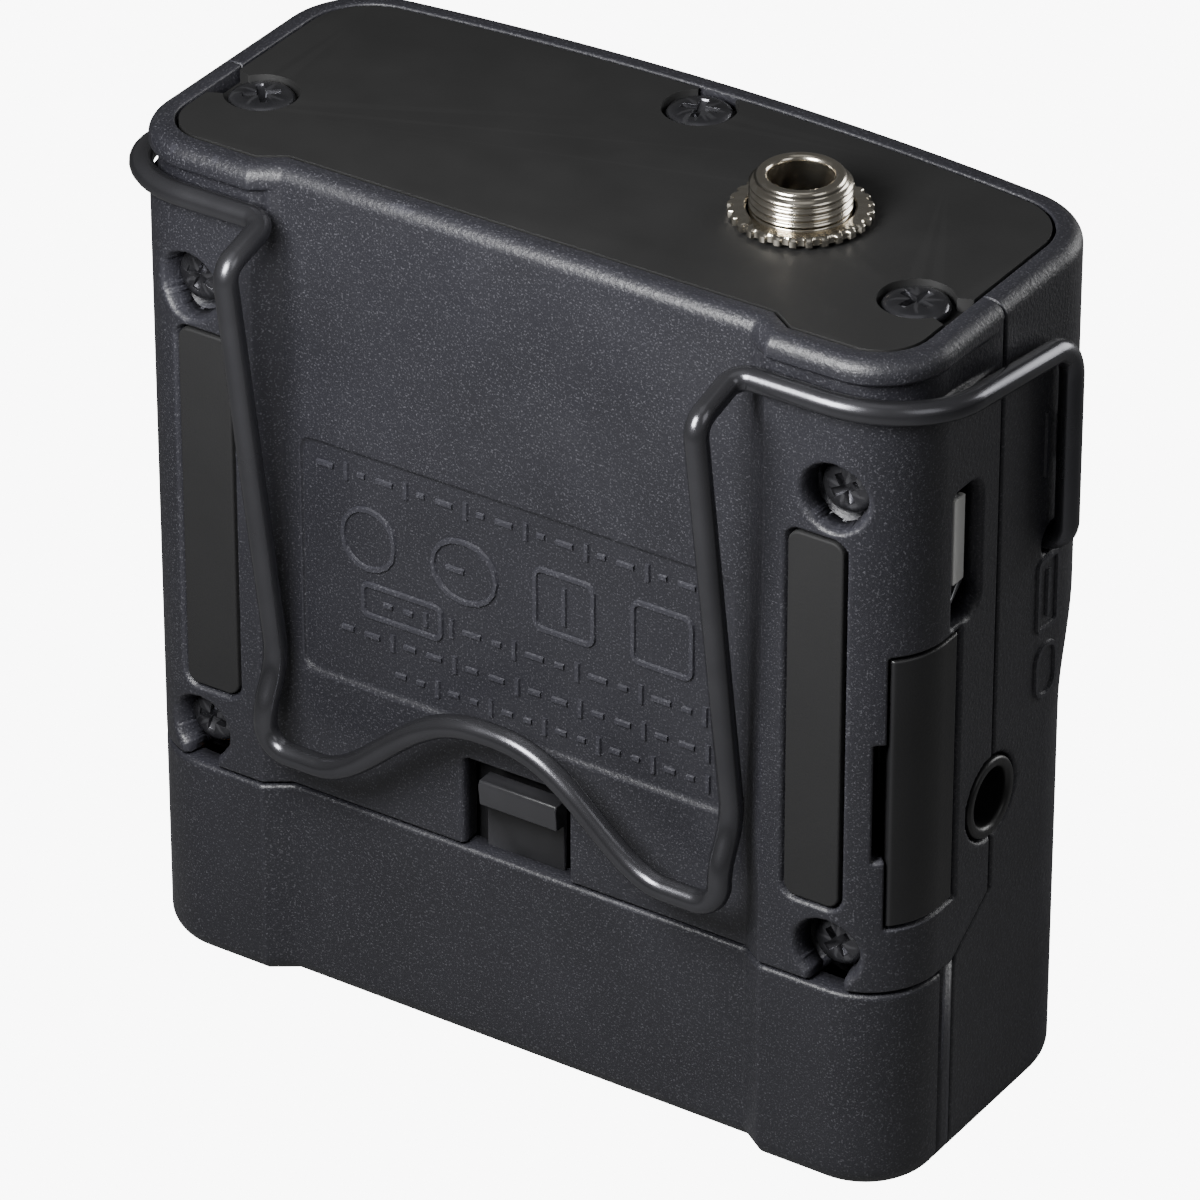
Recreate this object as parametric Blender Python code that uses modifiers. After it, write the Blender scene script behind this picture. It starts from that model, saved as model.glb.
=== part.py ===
"""Pocket audio pack with a spring wire belt clip, built as separate pieces.

Frame: +Z up, the face with the display looks along -Y, the belt clip is on +Y.
The origin is the middle of the bottom face.  Sizes below are in millimetres;
the helpers turn them into metres as they make the geometry.
"""
import math

import bmesh
import bpy
from mathutils import Matrix, Vector

MM = 0.001
PRODUCT = "pocket_audio_pack"

# ---- casing -------------------------------------------------------------
WIDTH = 51.0            # across the sides
DEPTH = 23.3            # back pillars to the crown of the bowed front
HEIGHT = 52.9           # bottom to the top rim
WALL = 1.5              # casing wall
FLOOR = 1.5             # casing floor
SEAM = 0.2              # visible joint between two mouldings
GAP = 0.3               # clearance round a piece that sits in another
BACK_CORNER = 4.5       # plan radius of the back corners
FRONT_CORNER = 5.5      # plan radius of the front corners
BOW_RADIUS = 165.0      # plan radius of the bowed front
PILLAR_EDGE = 16.7      # where each back pillar starts, from the middle
PILLAR_STEP = 1.5       # width of the slope beside the pillar
RECESS = 1.0            # depth of the back between the pillars
RIM_ROUND = 0.9         # rounding of the top rim
BASE_ROUND = 1.5        # rounding of the bottom edge
FRONT_STEP = 1.1        # how far the lower front lies back
STEP_LOW = 23.5         # the lower front ends here
STEP_HIGH = 31.0        # and the upper front starts here
SPLIT_Y = 1.75          # plane between front and rear covers
SPLIT_LOW_Y = 5.5       # the same joint beside the battery door
RIM_CHANNEL = 0.7       # depth of the channel that the wire lies in
SIDE = WIDTH / 2        # x of the side faces
BACK = DEPTH / 2        # y of the back pillars
CROWN = DEPTH / 2       # y of the front's crown, towards -Y
INNER_BACK = BACK - RECESS - WALL
FAR = BACK + 5          # beyond every face, for cutting tools

# ---- top plate and its screws -------------------------------------------
PLATE_THICK = 1.25
PLATE_DROP = 0.05       # below the rim
PLATE_TOP = HEIGHT - PLATE_DROP
PLATE_LOW = PLATE_TOP - PLATE_THICK
PLATE_INSET = WALL + SEAM
TOP_SCREW_X = 21.2
TOP_SCREW_Y = 3.8
FRONT_SCREW_Y = -8.0
TOP_HEAD_R = 1.9
TOP_HEAD_H = 0.7
TOP_SHANK_R = 0.8
TOP_SHANK_L = 4.2
SINK_R = 2.15           # hole round a top screw's head
BOSS_H = 5.2            # height of the blocks that the top screws bite in
BOSS_HALF = 2.3         # half width of those blocks
WEDGE_REACH = 3.6       # how far the cut beside a top screw runs out
WEDGE_HALF = (0.9, 2.0) # its half width near the screw and at its far end

# ---- cell, tray and the height of the battery door ----------------------
CELL_R = 5.25
CELL_X = (-21.4, 22.0)
CELL_Z = FLOOR + 0.2 + CELL_R           # a little above the floor
CELL_Y = INNER_BACK - 0.4 - CELL_R      # a little in front of the back wall
BUTTON_R = 2.7
BUTTON_H = 0.9
TRAY_THICK = 0.65
TRAY_ROOM = (0.7, 0.25)                 # in front of the cell and above it
TRAY_TOP = CELL_Z + CELL_R + TRAY_ROOM[1]
TRAY_FRONT = CELL_Y - CELL_R - TRAY_ROOM[0] - TRAY_THICK
TRAY_BACK = 8.6
TRAY_X = 23.6
CONTACT_THICK = 0.4
SPRING_R = (3.2, 1.8)
SPRING_WIRE = 0.25
SPRING_TURNS = 3
DOOR_TOP = TRAY_TOP + TRAY_THICK
SPLIT_JOG = DOOR_TOP + SEAM + 2.6       # height where the covers' joint bends

# ---- rear screws ----------------------------------------------------------
REAR_SCREW_X = 20.95
REAR_SCREW_Z = (DOOR_TOP + 2.4, HEIGHT - 8.6)
WELL_R = 2.0
WELL_DEPTH = 2.6
WELL_WALL = 0.9
NOTCH_HALF = 1.1        # half width of the notch below a lower well
REAR_HEAD_R = 1.6
REAR_HEAD_H = 1.0
REAR_SHANK_R = 0.65
SHANK_BITE = 4.0        # how far the shank goes past the cover joint
TUBE_R = 1.3
TUBE_BORE = 0.95
FRONT_BOSS_R = 1.8
CROSS_W = 0.45
CROSS_DEPTH = 0.45
CROSS_SHARE = 1.25      # length of the cross against the head's radius

# ---- back pads and label field ---------------------------------------------
PAD_X = (18.0, 21.9)
PAD_Z = (DOOR_TOP + 5.2, HEIGHT - 11.1)
PAD_DEPTH = 0.9
PAD_DROP = 0.05
PAD_CORNER = 0.9
LABEL_X = 14.2
LABEL_Z = (DOOR_TOP + 8.3, 36.5)
LABEL_DEPTH = 0.2

# ---- battery door and latch ---------------------------------------------------
DOOR_EDGE_Y = 6.75      # front edge of the door's side wings
HINGE_Y = 7.0
HINGE_Z = 1.0
KNUCKLE_R = 0.95
KNUCKLE_X = 22.0        # half length of the knuckle
HINGE_PIN_R = 0.35
HINGE_BORE_R = 0.6
LUG_X = (22.5, 23.7)
LUG_TOP = 2.2
LUG_BACK = 7.9
SWING_R = 1.2           # room for the wing's corner as the door turns
WINDOW_X = 3.5
WINDOW_TOP = DOOR_TOP + 5.9
CATCH_X = 5.2           # half width of the wall that the latch hooks on
CATCH_TOP = WINDOW_TOP + 0.5
LATCH_X = 2.6
LATCH_THICK = 0.6
LATCH_LOW = DOOR_TOP - 3.3
LATCH_TOP = DOOR_TOP + 4.7
LATCH_RIDGE = 1.2
LATCH_TRAVEL = 1.0
LATCH_SKIN = 0.5        # door wall left outside the latch's pocket

# ---- card cover, card and sockets on the -X side ----------------------------
CARD_DOOR_Z = (17.6, 34.6)
CARD_DOOR_Y = 5.85      # front edge of the cover
CARD_DOOR_X = SIDE - 1.4                # the cover ends here on the back corner
CARD_HINGE = (SIDE - 0.4, 6.0)
CARD_DOOR_THICK = 1.1
NAIL_Z = (21.8, 29.3)
NAIL_W = 0.75
CARD_Z = 26.0
CARD_W = 11.0
CARD_L = 15.0
CARD_T = 0.7
CARD_END_X = SIDE - 2.3
SOCKET_Y = (6.1, 7.8)
USB_Y = 5.1
USB_Z = 39.2
USB_OPEN = (2.9, 8.4)
USB_SHELL = (2.3, 7.2)
USB_SKEW = 1.0          # how much shorter the shell's narrow side is, each end
USB_INSET = 0.95
USB_L = 5.3
USB_WALL = 0.3
PHONES_Y = 1.9
PHONES_Z = 21.95
PHONES_R = 2.55
PHONES_BORE = 1.75
PHONES_PROUD = 0.25
PHONES_L = 11.0

# ---- microphone jack -----------------------------------------------------------
JACK_X = -11.3
JACK_Y = -0.45
JACK_TOP = HEIGHT + 2.7
THREAD_R = 2.85
THREAD_PITCH = 0.42
THREAD_DEPTH = 0.18
THREAD_CRESTS = 5
JACK_RING_R = 2.5
JACK_BORE = 1.8
JACK_FLANGE_R = 3.7
NUT_R = 4.0
NUT_THICK = 0.55
NUT_TEETH = 28
NUT_TOOTH = 0.3
NUT_LIFT = 0.2
JACK_BODY = 8.0
JACK_BODY_LOW = HEIGHT - 13.4

# ---- wire clip --------------------------------------------------------------------
WIRE_R = 0.7
RUN_Y = BACK + 0.35     # the wire over the back pillars, and the flex axis
RUN_Z = HEIGHT - 2.6
SIDE_X = SIDE + WIRE_R + 0.2
ANCHOR_Y = -3.95
ANCHOR_Z = 35.6
ANCHOR_IN_X = SIDE - 1.2
ANCHOR_TOP_Z = RUN_Z - 2.1
CORNER_BEND = 5.8
SPLIT_X = 19.85         # the wire is parted here, across the flex axis
LEG_X = 15.15
LEG_TOP = (BACK + 4.45, RUN_Z - 1.1)    # y and z of the bend at a leg's top
KINK = (BACK + 0.3, 22.4)               # y and z of the bend next to the back
FLARE_Y = BACK + 1.6
FLARE_H = 2.6           # length of the upright part of a lobe
LOBE_Z = 17.15
HUMP_TOP = 23.2
HUMP_HALF = 11.6
HUMP_POWER = 1.25       # above 1 the hump has a broad crown and hollow flanks
TOP_BEND = 1.1
BEND = 1.6

# ---- front: display, keys, switches ---------------------------------------------
DISPLAY_X = 12.5
DISPLAY_Z = (34.2, 44.2)
DISPLAY_SKIN = 0.8
MODULE_Y = (-8.1, -6.9)
KEY_X = (-12.0, -4.0, 4.0, 12.0)
KEY_NAMES = ("menu_key", "down_key", "up_key", "enter_key")
KEY_Z = 18.2
KEY_SIZE = (6.0, 3.4)
KEY_PROUD = 0.6
KEY_FLANGE = 0.7
KEY_FLANGE_BACK = -7.5
TACT_Y = (-6.9, -5.9)
SWITCH_Z = 8.0
RECORD_X = -8.0
RECORD_KNOB = (6.5, 4.4)
RECORD_TRAVEL = 3.0
POWER_X = 7.0
POWER_KNOB = (4.2, 3.4)
POWER_TRAVEL = 2.5
KNOB_PROUD = 0.9
STEM_H = 1.6
PIPE_X = 16.5
PIPE_R = 0.8

# ---- boards --------------------------------------------------------------------------
MAIN_Y = (5.0, 5.8)
MAIN_X = 19.0
MAIN_Z = (DOOR_TOP + 1.3, HEIGHT - 8.1)
FRONT_BOARD_Y = (-5.6, -4.8)
FRONT_BOARD_X = 18.3
FRONT_BOARD_Z = (DOOR_TOP + 1.3, HEIGHT - 8.3)
CHIP_H = 1.2
CONNECTOR_DEPTH = 3.0   # room left behind the connector between the boards
CHIPS = {               # low x, low z, high x, high z on the main board
    "processor_chip": (2, 24, 14, 36),
    "memory_chip": (2, 17, 12, 22),
    "converter_chip": (-8, 27, -1, 34),
}
CONNECTOR = (-6, 16.5, 6, 19.5)


# ---- helpers ------------------------------------------------------------------
def collection(name):
    found = bpy.data.collections.new(name)
    bpy.context.scene.collection.children.link(found)
    return found


def material(name, colour, roughness, metallic=0.0):
    made = bpy.data.materials.new(name)
    made.use_nodes = True
    shader = made.node_tree.nodes["Principled BSDF"]
    shader.inputs["Base Color"].default_value = (*colour, 1.0)
    shader.inputs["Roughness"].default_value = roughness
    shader.inputs["Metallic"].default_value = metallic
    return made


def add_object(name, mesh, finish=None):
    made = bpy.data.objects.new(name, mesh)
    if finish is None:
        CUTTERS.objects.link(made)
        made.hide_render = True
        made.display_type = "WIRE"
    else:
        PARTS.objects.link(made)
        mesh.materials.append(finish)
    return made


def evaluated_mesh(made):
    bpy.context.view_layer.update()
    seen = made.evaluated_get(bpy.context.evaluated_depsgraph_get())
    return bpy.data.meshes.new_from_object(seen)


def drop(made):
    bpy.data.objects.remove(made)


def welded(mesh):
    work = bmesh.new()
    work.from_mesh(mesh)
    bmesh.ops.remove_doubles(work, verts=work.verts, dist=0.001 * MM)
    bmesh.ops.dissolve_limit(
        work, angle_limit=0.001, verts=work.verts, edges=work.edges)
    bmesh.ops.recalc_face_normals(work, faces=work.faces)
    work.to_mesh(mesh)
    work.free()
    return mesh


def slab(name, points, low, high, finish=None, axis="Z"):
    """A flat outline with thickness.  axis names the direction of the thickness:
    points are (x, y) for Z, (x, z) for Y and (y, z) for X."""
    flat = bpy.data.curves.new(name + "_outline", "CURVE")
    flat.dimensions = "2D"
    flat.fill_mode = "BOTH"
    flat.extrude = (high - low) / 2 * MM
    line = flat.splines.new("POLY")
    line.points.add(len(points) - 1)
    for spot, (u, v) in zip(line.points, points):
        spot.co = (u * MM, v * MM, 0.0, 1.0)
    line.use_cyclic_u = True
    guide = bpy.data.objects.new(name + "_guide", flat)
    CUTTERS.objects.link(guide)
    mesh = evaluated_mesh(guide)
    drop(guide)
    middle = (low + high) / 2 * MM
    turn = {
        "Z": Matrix.Translation((0, 0, middle)),
        "Y": Matrix(((1, 0, 0, 0), (0, 0, 1, middle), (0, 1, 0, 0), (0, 0, 0, 1))),
        "X": Matrix(((0, 0, 1, middle), (1, 0, 0, 0), (0, 1, 0, 0), (0, 0, 0, 1))),
    }[axis]
    mesh.transform(turn)
    mesh.name = name
    return add_object(name, welded(mesh), finish)


def block(name, low, high, finish=None):
    """A box between two corners."""
    work = bmesh.new()
    bmesh.ops.create_cube(work, size=1.0)
    for vert in work.verts:
        for k in range(3):
            share = vert.co[k] + 0.5
            vert.co[k] = (low[k] + share * (high[k] - low[k])) * MM
    mesh = bpy.data.meshes.new(name)
    work.to_mesh(mesh)
    work.free()
    return add_object(name, mesh, finish)


def rod(name, start, end, radius, finish=None, sides=20, end_radius=None):
    """A cylinder or cone from one point to another."""
    a, b = Vector(start) * MM, Vector(end) * MM
    work = bmesh.new()
    bmesh.ops.create_cone(
        work, cap_ends=True, segments=sides, depth=(b - a).length,
        radius1=radius * MM,
        radius2=(radius if end_radius is None else end_radius) * MM)
    turn = (b - a).to_track_quat("Z", "Y").to_matrix().to_4x4()
    work.transform(Matrix.Translation((a + b) / 2) @ turn)
    mesh = bpy.data.meshes.new(name)
    work.to_mesh(mesh)
    work.free()
    return add_object(name, mesh, finish)


def turned(name, profile, finish=None, steps=24, closed=False):
    """A profile of (radius, height) turned about Z with a Screw modifier."""
    count = len(profile)
    edges = [(k, k + 1) for k in range(count - 1)]
    if closed:
        edges.append((count - 1, 0))
    mesh = bpy.data.meshes.new(name)
    mesh.from_pydata([(r * MM, 0, z * MM) for r, z in profile], edges, [])
    made = add_object(name, mesh, finish)
    spin = made.modifiers.new("turn", "SCREW")
    spin.steps = spin.render_steps = steps
    spin.use_merge_vertices = True
    spin.merge_threshold = 0.00001
    spin.use_smooth_shade = True
    return made


def combine(made, other, operation):
    step = made.modifiers.new(operation.lower(), "BOOLEAN")
    step.operation = operation
    step.solver = "EXACT"
    step.object = other
    return made


def cut(made, *others):
    for other in others:
        combine(made, other, "DIFFERENCE")
    return made


def join(made, *others):
    for other in others:
        combine(made, other, "UNION")
    return made


def keep(made, other):
    return combine(made, other, "INTERSECT")


def set_origin(made, point):
    """Moves the object's origin to a point without moving its shape."""
    spot = Vector(point) * MM
    made.data.transform(Matrix.Translation(-spot))
    made.location = spot
    return made


def rounded_box(half_u, half_v, radius, centre=(0.0, 0.0), steps=4):
    points = []
    corners = ((1, 1, 0), (-1, 1, 90), (-1, -1, 180), (1, -1, 270))
    for sign_u, sign_v, start in corners:
        for k in range(steps + 1):
            angle = math.radians(start + 90 * k / steps)
            u = sign_u * (half_u - radius) + radius * math.cos(angle)
            v = sign_v * (half_v - radius) + radius * math.sin(angle)
            points.append((centre[0] + u, centre[1] + v))
    return points


# ---- the casing's plan outline ----------------------------------------------------
def bow(x):
    """y of the bowed upper front at x."""
    return -CROWN + BOW_RADIUS - math.sqrt(BOW_RADIUS ** 2 - x * x)


def half_outline(front_cut):
    """Right half of the plan, from the middle of the back to that of the front."""
    half = SIDE
    foot = PILLAR_EDGE - PILLAR_STEP
    points = [(foot, BACK - RECESS), (PILLAR_EDGE, BACK)]
    for k in range(7):
        angle = math.radians(90 - 15 * k)
        points.append((half - BACK_CORNER + BACK_CORNER * math.cos(angle),
                       BACK - BACK_CORNER + BACK_CORNER * math.sin(angle)))
    bow_y = -(CROWN - front_cut) + BOW_RADIUS
    corner_x = half - FRONT_CORNER
    drop_y = math.sqrt((BOW_RADIUS - FRONT_CORNER) ** 2 - corner_x ** 2)
    corner_y = bow_y - drop_y
    last = math.atan2(-drop_y, corner_x)
    for k in range(7):
        angle = last * k / 6
        points.append((corner_x + FRONT_CORNER * math.cos(angle),
                       corner_y + FRONT_CORNER * math.sin(angle)))
    meet = points[-1][0]
    for k in (3, 2, 1):
        x = meet * k / 4
        points.append((x, bow_y - math.sqrt(BOW_RADIUS ** 2 - x * x)))
    return points


def outline(inset=0.0, front_cut=0.0):
    """Whole plan, clockwise, moved inwards by inset along its own normals."""
    right = half_outline(front_cut)
    crown = (0.0, -(CROWN - front_cut))
    left = [(-x, y) for x, y in reversed(right)]
    points = [Vector(p) for p in right + [crown] + left]
    moved = []
    for k, here in enumerate(points):
        before = (here - points[k - 1]).normalized()
        after = (points[(k + 1) % len(points)] - here).normalized()
        inward = Vector((before.y, -before.x)) + Vector((after.y, -after.x))
        inward.normalize()
        lean = inward.dot(Vector((before.y, -before.x)))
        spot = here + inward * (inset / lean)
        moved.append((spot.x, spot.y))
    return moved


def body_levels():
    """(height, inset, front cut) of each section of the casing."""
    levels = []
    for k in range(4):
        angle = math.radians(30 * k)
        levels.append((BASE_ROUND * (1 - math.sin(angle)),
                       BASE_ROUND * (1 - math.cos(angle)), FRONT_STEP))
    levels.reverse()
    levels.append((STEP_LOW, 0.0, FRONT_STEP))
    levels.append((STEP_HIGH, 0.0, 0.0))
    for k in range(4):
        angle = math.radians(30 * k)
        levels.append((HEIGHT - RIM_ROUND * (1 - math.sin(angle)),
                       RIM_ROUND * (1 - math.cos(angle)), 0.0))
    return levels


def body_solid(name, finish=None):
    """The whole casing as one solid, lofted through its sections."""
    work = bmesh.new()
    rings = []
    for height, inset, front_cut in body_levels():
        ring = [work.verts.new((x * MM, y * MM, height * MM))
                for x, y in outline(inset, front_cut)]
        rings.append(ring)
    for low, high in zip(rings, rings[1:]):
        for k in range(len(low)):
            n = (k + 1) % len(low)
            work.faces.new((low[k], low[n], high[n], high[k]))
    work.faces.new(rings[0])
    work.faces.new(rings[-1])
    bmesh.ops.recalc_face_normals(work, faces=work.faces)
    mesh = bpy.data.meshes.new(name)
    work.to_mesh(mesh)
    work.free()
    return add_object(name, mesh, finish)


def shell(name, finish):
    """The casing, hollow and open at the top where the plate goes."""
    made = body_solid(name, finish)
    room = slab(name + "_room", outline(WALL, FRONT_STEP), FLOOR, HEIGHT + WALL)
    seat = slab(name + "_plate_seat", outline(WALL), PLATE_LOW - GAP, HEIGHT + WALL)
    return cut(made, room, seat)


# ---- casing pieces -------------------------------------------------------------
def front_cover():
    made = shell("front_cover", GRAINED)
    wall_y = bow(REAR_SCREW_X) + FRONT_STEP + WALL
    for sign in (-1, 1):
        for height in REAR_SCREW_Z:
            x = sign * REAR_SCREW_X
            join(made, rod("front_boss", (x, wall_y, height),
                           (x, SPLIT_Y, height), FRONT_BOSS_R, sides=16))
    top_boss = rod("front_top_boss", (0, FRONT_SCREW_Y, PLATE_LOW - GAP - BOSS_H),
                   (0, FRONT_SCREW_Y, PLATE_LOW - GAP), SINK_R, sides=16)
    join(made, top_boss)
    seam_y = SPLIT_Y - SEAM / 2
    low_y = SPLIT_LOW_Y - SEAM / 2
    region = slab("front_region", [
        (-FAR, -5), (low_y, -5), (low_y, DOOR_TOP + SEAM), (seam_y, SPLIT_JOG),
        (seam_y, HEIGHT + 5), (-FAR, HEIGHT + 5)], -WIDTH, WIDTH, axis="X")
    keep(made, region)
    for sign in (-1, 1):
        for height in REAR_SCREW_Z:
            x = sign * REAR_SCREW_X
            cut(made, rod("front_bore", (x, SPLIT_Y - SHANK_BITE - 2 * GAP, height),
                          (x, FAR, height), TUBE_BORE, sides=12))
        cut(made, rod("anchor_hole", (sign * (SIDE - 2 * WALL), ANCHOR_Y, ANCHOR_Z),
                      (sign * WIDTH, ANCHOR_Y, ANCHOR_Z), WIRE_R + GAP, sides=16))
    cut(made, rod("front_top_bore", (0, FRONT_SCREW_Y, PLATE_LOW - BOSS_H),
                  (0, FRONT_SCREW_Y, HEIGHT), TOP_SHANK_R + GAP, sides=12))
    cut(made, phones_hole())
    middle = (DISPLAY_Z[0] + DISPLAY_Z[1]) / 2
    cut(made, slab("display_hole", rounded_box(
        DISPLAY_X + GAP, (DISPLAY_Z[1] - DISPLAY_Z[0]) / 2 + GAP, 1.0,
        (0, middle)), -FAR, MODULE_Y[0] + 1, axis="Y"))
    for x in KEY_X:
        cut(made, slab("key_hole", rounded_box(
            KEY_SIZE[0] / 2 + GAP, KEY_SIZE[1] / 2 + GAP, 1.0, (x, KEY_Z)),
            -FAR, MODULE_Y[0] + 1, axis="Y"))
    for x, travel in ((RECORD_X, RECORD_TRAVEL), (POWER_X, POWER_TRAVEL)):
        cut(made, slab("switch_slot", rounded_box(
            (STEM_H + travel) / 2 + GAP, STEM_H / 2 + GAP, 0.8,
            (x + travel / 2, SWITCH_Z)), -FAR, MODULE_Y[0] + 1, axis="Y"))
    cut(made, rod("pipe_hole", (PIPE_X, -FAR, SWITCH_Z),
                  (PIPE_X, MODULE_Y[0] + 1, SWITCH_Z), PIPE_R + GAP, sides=12))
    return made


def phones_hole():
    return rod("phones_hole", (-WIDTH, PHONES_Y, PHONES_Z),
               (-SIDE + 2 * WALL, PHONES_Y, PHONES_Z),
               PHONES_R + GAP, sides=24)


def wire_channel():
    """Ring that cuts the wire's channel into the pillars and back corners."""
    made = slab("channel_ring", outline(-4.0),
                RUN_Z - WIRE_R - 2 * GAP, RUN_Z + WIRE_R + GAP)
    cut(made, slab("channel_core", outline(RIM_CHANNEL),
                   RUN_Z - 5, RUN_Z + 5))
    cut(made, block("channel_middle", (-PILLAR_EDGE + PILLAR_STEP, 0, RUN_Z - 5),
                    (PILLAR_EDGE - PILLAR_STEP, 2 * BACK, RUN_Z + 5)))
    cut(made, block("channel_front", (-WIDTH, -2 * BACK, RUN_Z - 5),
                    (WIDTH, SPLIT_Y, RUN_Z + 5)))
    return made


def rear_cover():
    made = shell("rear_cover", GRAINED)
    floor_y = BACK - WELL_DEPTH
    for sign in (-1, 1):
        x = sign * REAR_SCREW_X
        for height in REAR_SCREW_Z:
            join(made, rod("well_wall", (x, floor_y - WELL_WALL, height),
                           (x, BACK - WALL / 2, height), WELL_R + WELL_WALL,
                           sides=20))
            join(made, rod("screw_tube", (x, SPLIT_Y, height),
                           (x, floor_y, height), TUBE_R, sides=14))
        low_x, high_x = sorted((sign * (TOP_SCREW_X - BOSS_HALF), sign * (SIDE - WALL / 2)))
        join(made, block("top_block", (low_x, SPLIT_Y, PLATE_LOW - GAP - BOSS_H),
                         (high_x, TOP_SCREW_Y + BOSS_HALF, PLATE_LOW - GAP)))
    seam_y = SPLIT_Y + SEAM / 2
    low_y = SPLIT_LOW_Y + SEAM / 2
    region = slab("rear_region", [
        (seam_y, HEIGHT + 5), (seam_y, SPLIT_JOG), (low_y, DOOR_TOP + SEAM),
        (low_y, -5), (DOOR_EDGE_Y - SEAM, -5),
        (DOOR_EDGE_Y - SEAM, DOOR_TOP + SEAM), (FAR, DOOR_TOP + SEAM),
        (FAR, HEIGHT + 5)], -WIDTH, WIDTH, axis="X")
    keep(made, region)
    cut(made, block("sill_cut", (-LUG_X[0] + GAP, 0, -5), (LUG_X[0] - GAP, FAR, 5)))
    cut(made, rod("swing_room", (-WIDTH, HINGE_Y, HINGE_Z),
                  (WIDTH, HINGE_Y, HINGE_Z), SWING_R, sides=20))
    cut(made, block("swing_foot", (-WIDTH, HINGE_Y - SWING_R, -5),
                    (WIDTH, FAR, HINGE_Z / 2)))
    for sign in (-1, 1):
        near, away = sorted((sign * LUG_X[0], sign * LUG_X[1]))
        join(made, block("hinge_lug", (near, low_y, 0.2), (away, LUG_BACK, LUG_TOP)))
        side = sorted((sign * LUG_X[0], sign * (SIDE - WALL + 0.5)))
        join(made, block("lug_root", (side[0], low_y, 0.2),
                         (side[1], HINGE_Y - SWING_R + 0.1, LUG_TOP)))
    cut(made, rod("lug_bore", (-SIDE + WALL, HINGE_Y, HINGE_Z),
                  (SIDE - WALL, HINGE_Y, HINGE_Z), HINGE_BORE_R, sides=12))
    for sign in (-1, 1):
        x = sign * REAR_SCREW_X
        for height in REAR_SCREW_Z:
            cut(made, rod("well", (x, floor_y, height), (x, FAR, height), WELL_R,
                          sides=24))
            cut(made, rod("tube_bore", (x, 0, height), (x, FAR, height), TUBE_BORE,
                          sides=12))
        low = REAR_SCREW_Z[0]
        cut(made, block("well_notch", (x - NOTCH_HALF, floor_y, low - WELL_R - 2),
                        (x + NOTCH_HALF, FAR, low)))
        cut(made, rod("top_bore", (sign * TOP_SCREW_X, TOP_SCREW_Y, PLATE_LOW - BOSS_H),
                      (sign * TOP_SCREW_X, TOP_SCREW_Y, HEIGHT), TOP_SHANK_R + GAP,
                      sides=12))
        pad_x = sign * (PAD_X[0] + PAD_X[1]) / 2
        cut(made, slab("pad_pocket", rounded_box(
            (PAD_X[1] - PAD_X[0]) / 2, (PAD_Z[1] - PAD_Z[0]) / 2, PAD_CORNER,
            (pad_x, sum(PAD_Z) / 2)), BACK - PAD_DEPTH, FAR, axis="Y"))
    label_mid = sum(LABEL_Z) / 2
    cut(made, slab("label_field", rounded_box(
        LABEL_X, (LABEL_Z[1] - LABEL_Z[0]) / 2, 0.8, (0, label_mid)),
        BACK - RECESS - LABEL_DEPTH, FAR, axis="Y"))
    cut(made, block("latch_window", (-WINDOW_X, INNER_BACK - 1, DOOR_TOP - 1),
                    (WINDOW_X, FAR, WINDOW_TOP)))
    cut(made, wire_channel())
    cut(made, block("card_window", (-WIDTH, CARD_DOOR_Y - 2 * GAP, CARD_DOOR_Z[0] - SEAM),
                    (-CARD_DOOR_X + SEAM, FAR, CARD_DOOR_Z[1] + SEAM)))
    cut(made, block("nail_slot", (-CARD_DOOR_X - SEAM, BACK - 2.2, NAIL_Z[0]),
                    (-CARD_DOOR_X + NAIL_W, FAR, NAIL_Z[1])))
    cut(made, phones_hole())
    cut(made, slab("usb_hole", rounded_box(
        USB_OPEN[0] / 2, USB_OPEN[1] / 2, 0.7, (USB_Y, USB_Z)),
        -WIDTH, -SIDE + 2 * WALL, axis="X"))
    return made


def sink_wedge(name, x, y):
    """Cut from a top screw's hole out to the plate's edge."""
    away = Vector((math.copysign(1, x), 0)) if x else Vector((0, -1))
    side = Vector((-away.y, away.x))
    centre = Vector((x, y))
    near = centre + away * SINK_R * 0.5
    end = centre + away * WEDGE_REACH
    near_half, end_half = WEDGE_HALF
    points = [near + side * near_half, end + side * end_half,
              end - side * end_half, near - side * near_half]
    return slab(name, [(p.x, p.y) for p in points],
                PLATE_TOP - TOP_HEAD_H - 0.1, HEIGHT + 1)


def top_plate():
    made = slab("top_plate", outline(PLATE_INSET), PLATE_LOW, PLATE_TOP, MATT)
    spots = ((TOP_SCREW_X, TOP_SCREW_Y), (-TOP_SCREW_X, TOP_SCREW_Y), (0, FRONT_SCREW_Y))
    for x, y in spots:
        cut(made, rod("sink", (x, y, PLATE_TOP - TOP_HEAD_H - 0.1), (x, y, HEIGHT + 1),
                      SINK_R, sides=24))
        cut(made, rod("plate_bore", (x, y, 0), (x, y, HEIGHT), TOP_SHANK_R + GAP,
                      sides=12))
        cut(made, sink_wedge("sink_wedge", x, y))
    cut(made, rod("jack_hole", (JACK_X, JACK_Y, PLATE_LOW - 1), (JACK_X, JACK_Y, HEIGHT + 1),
                  THREAD_R + GAP, sides=24))
    return made


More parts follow.
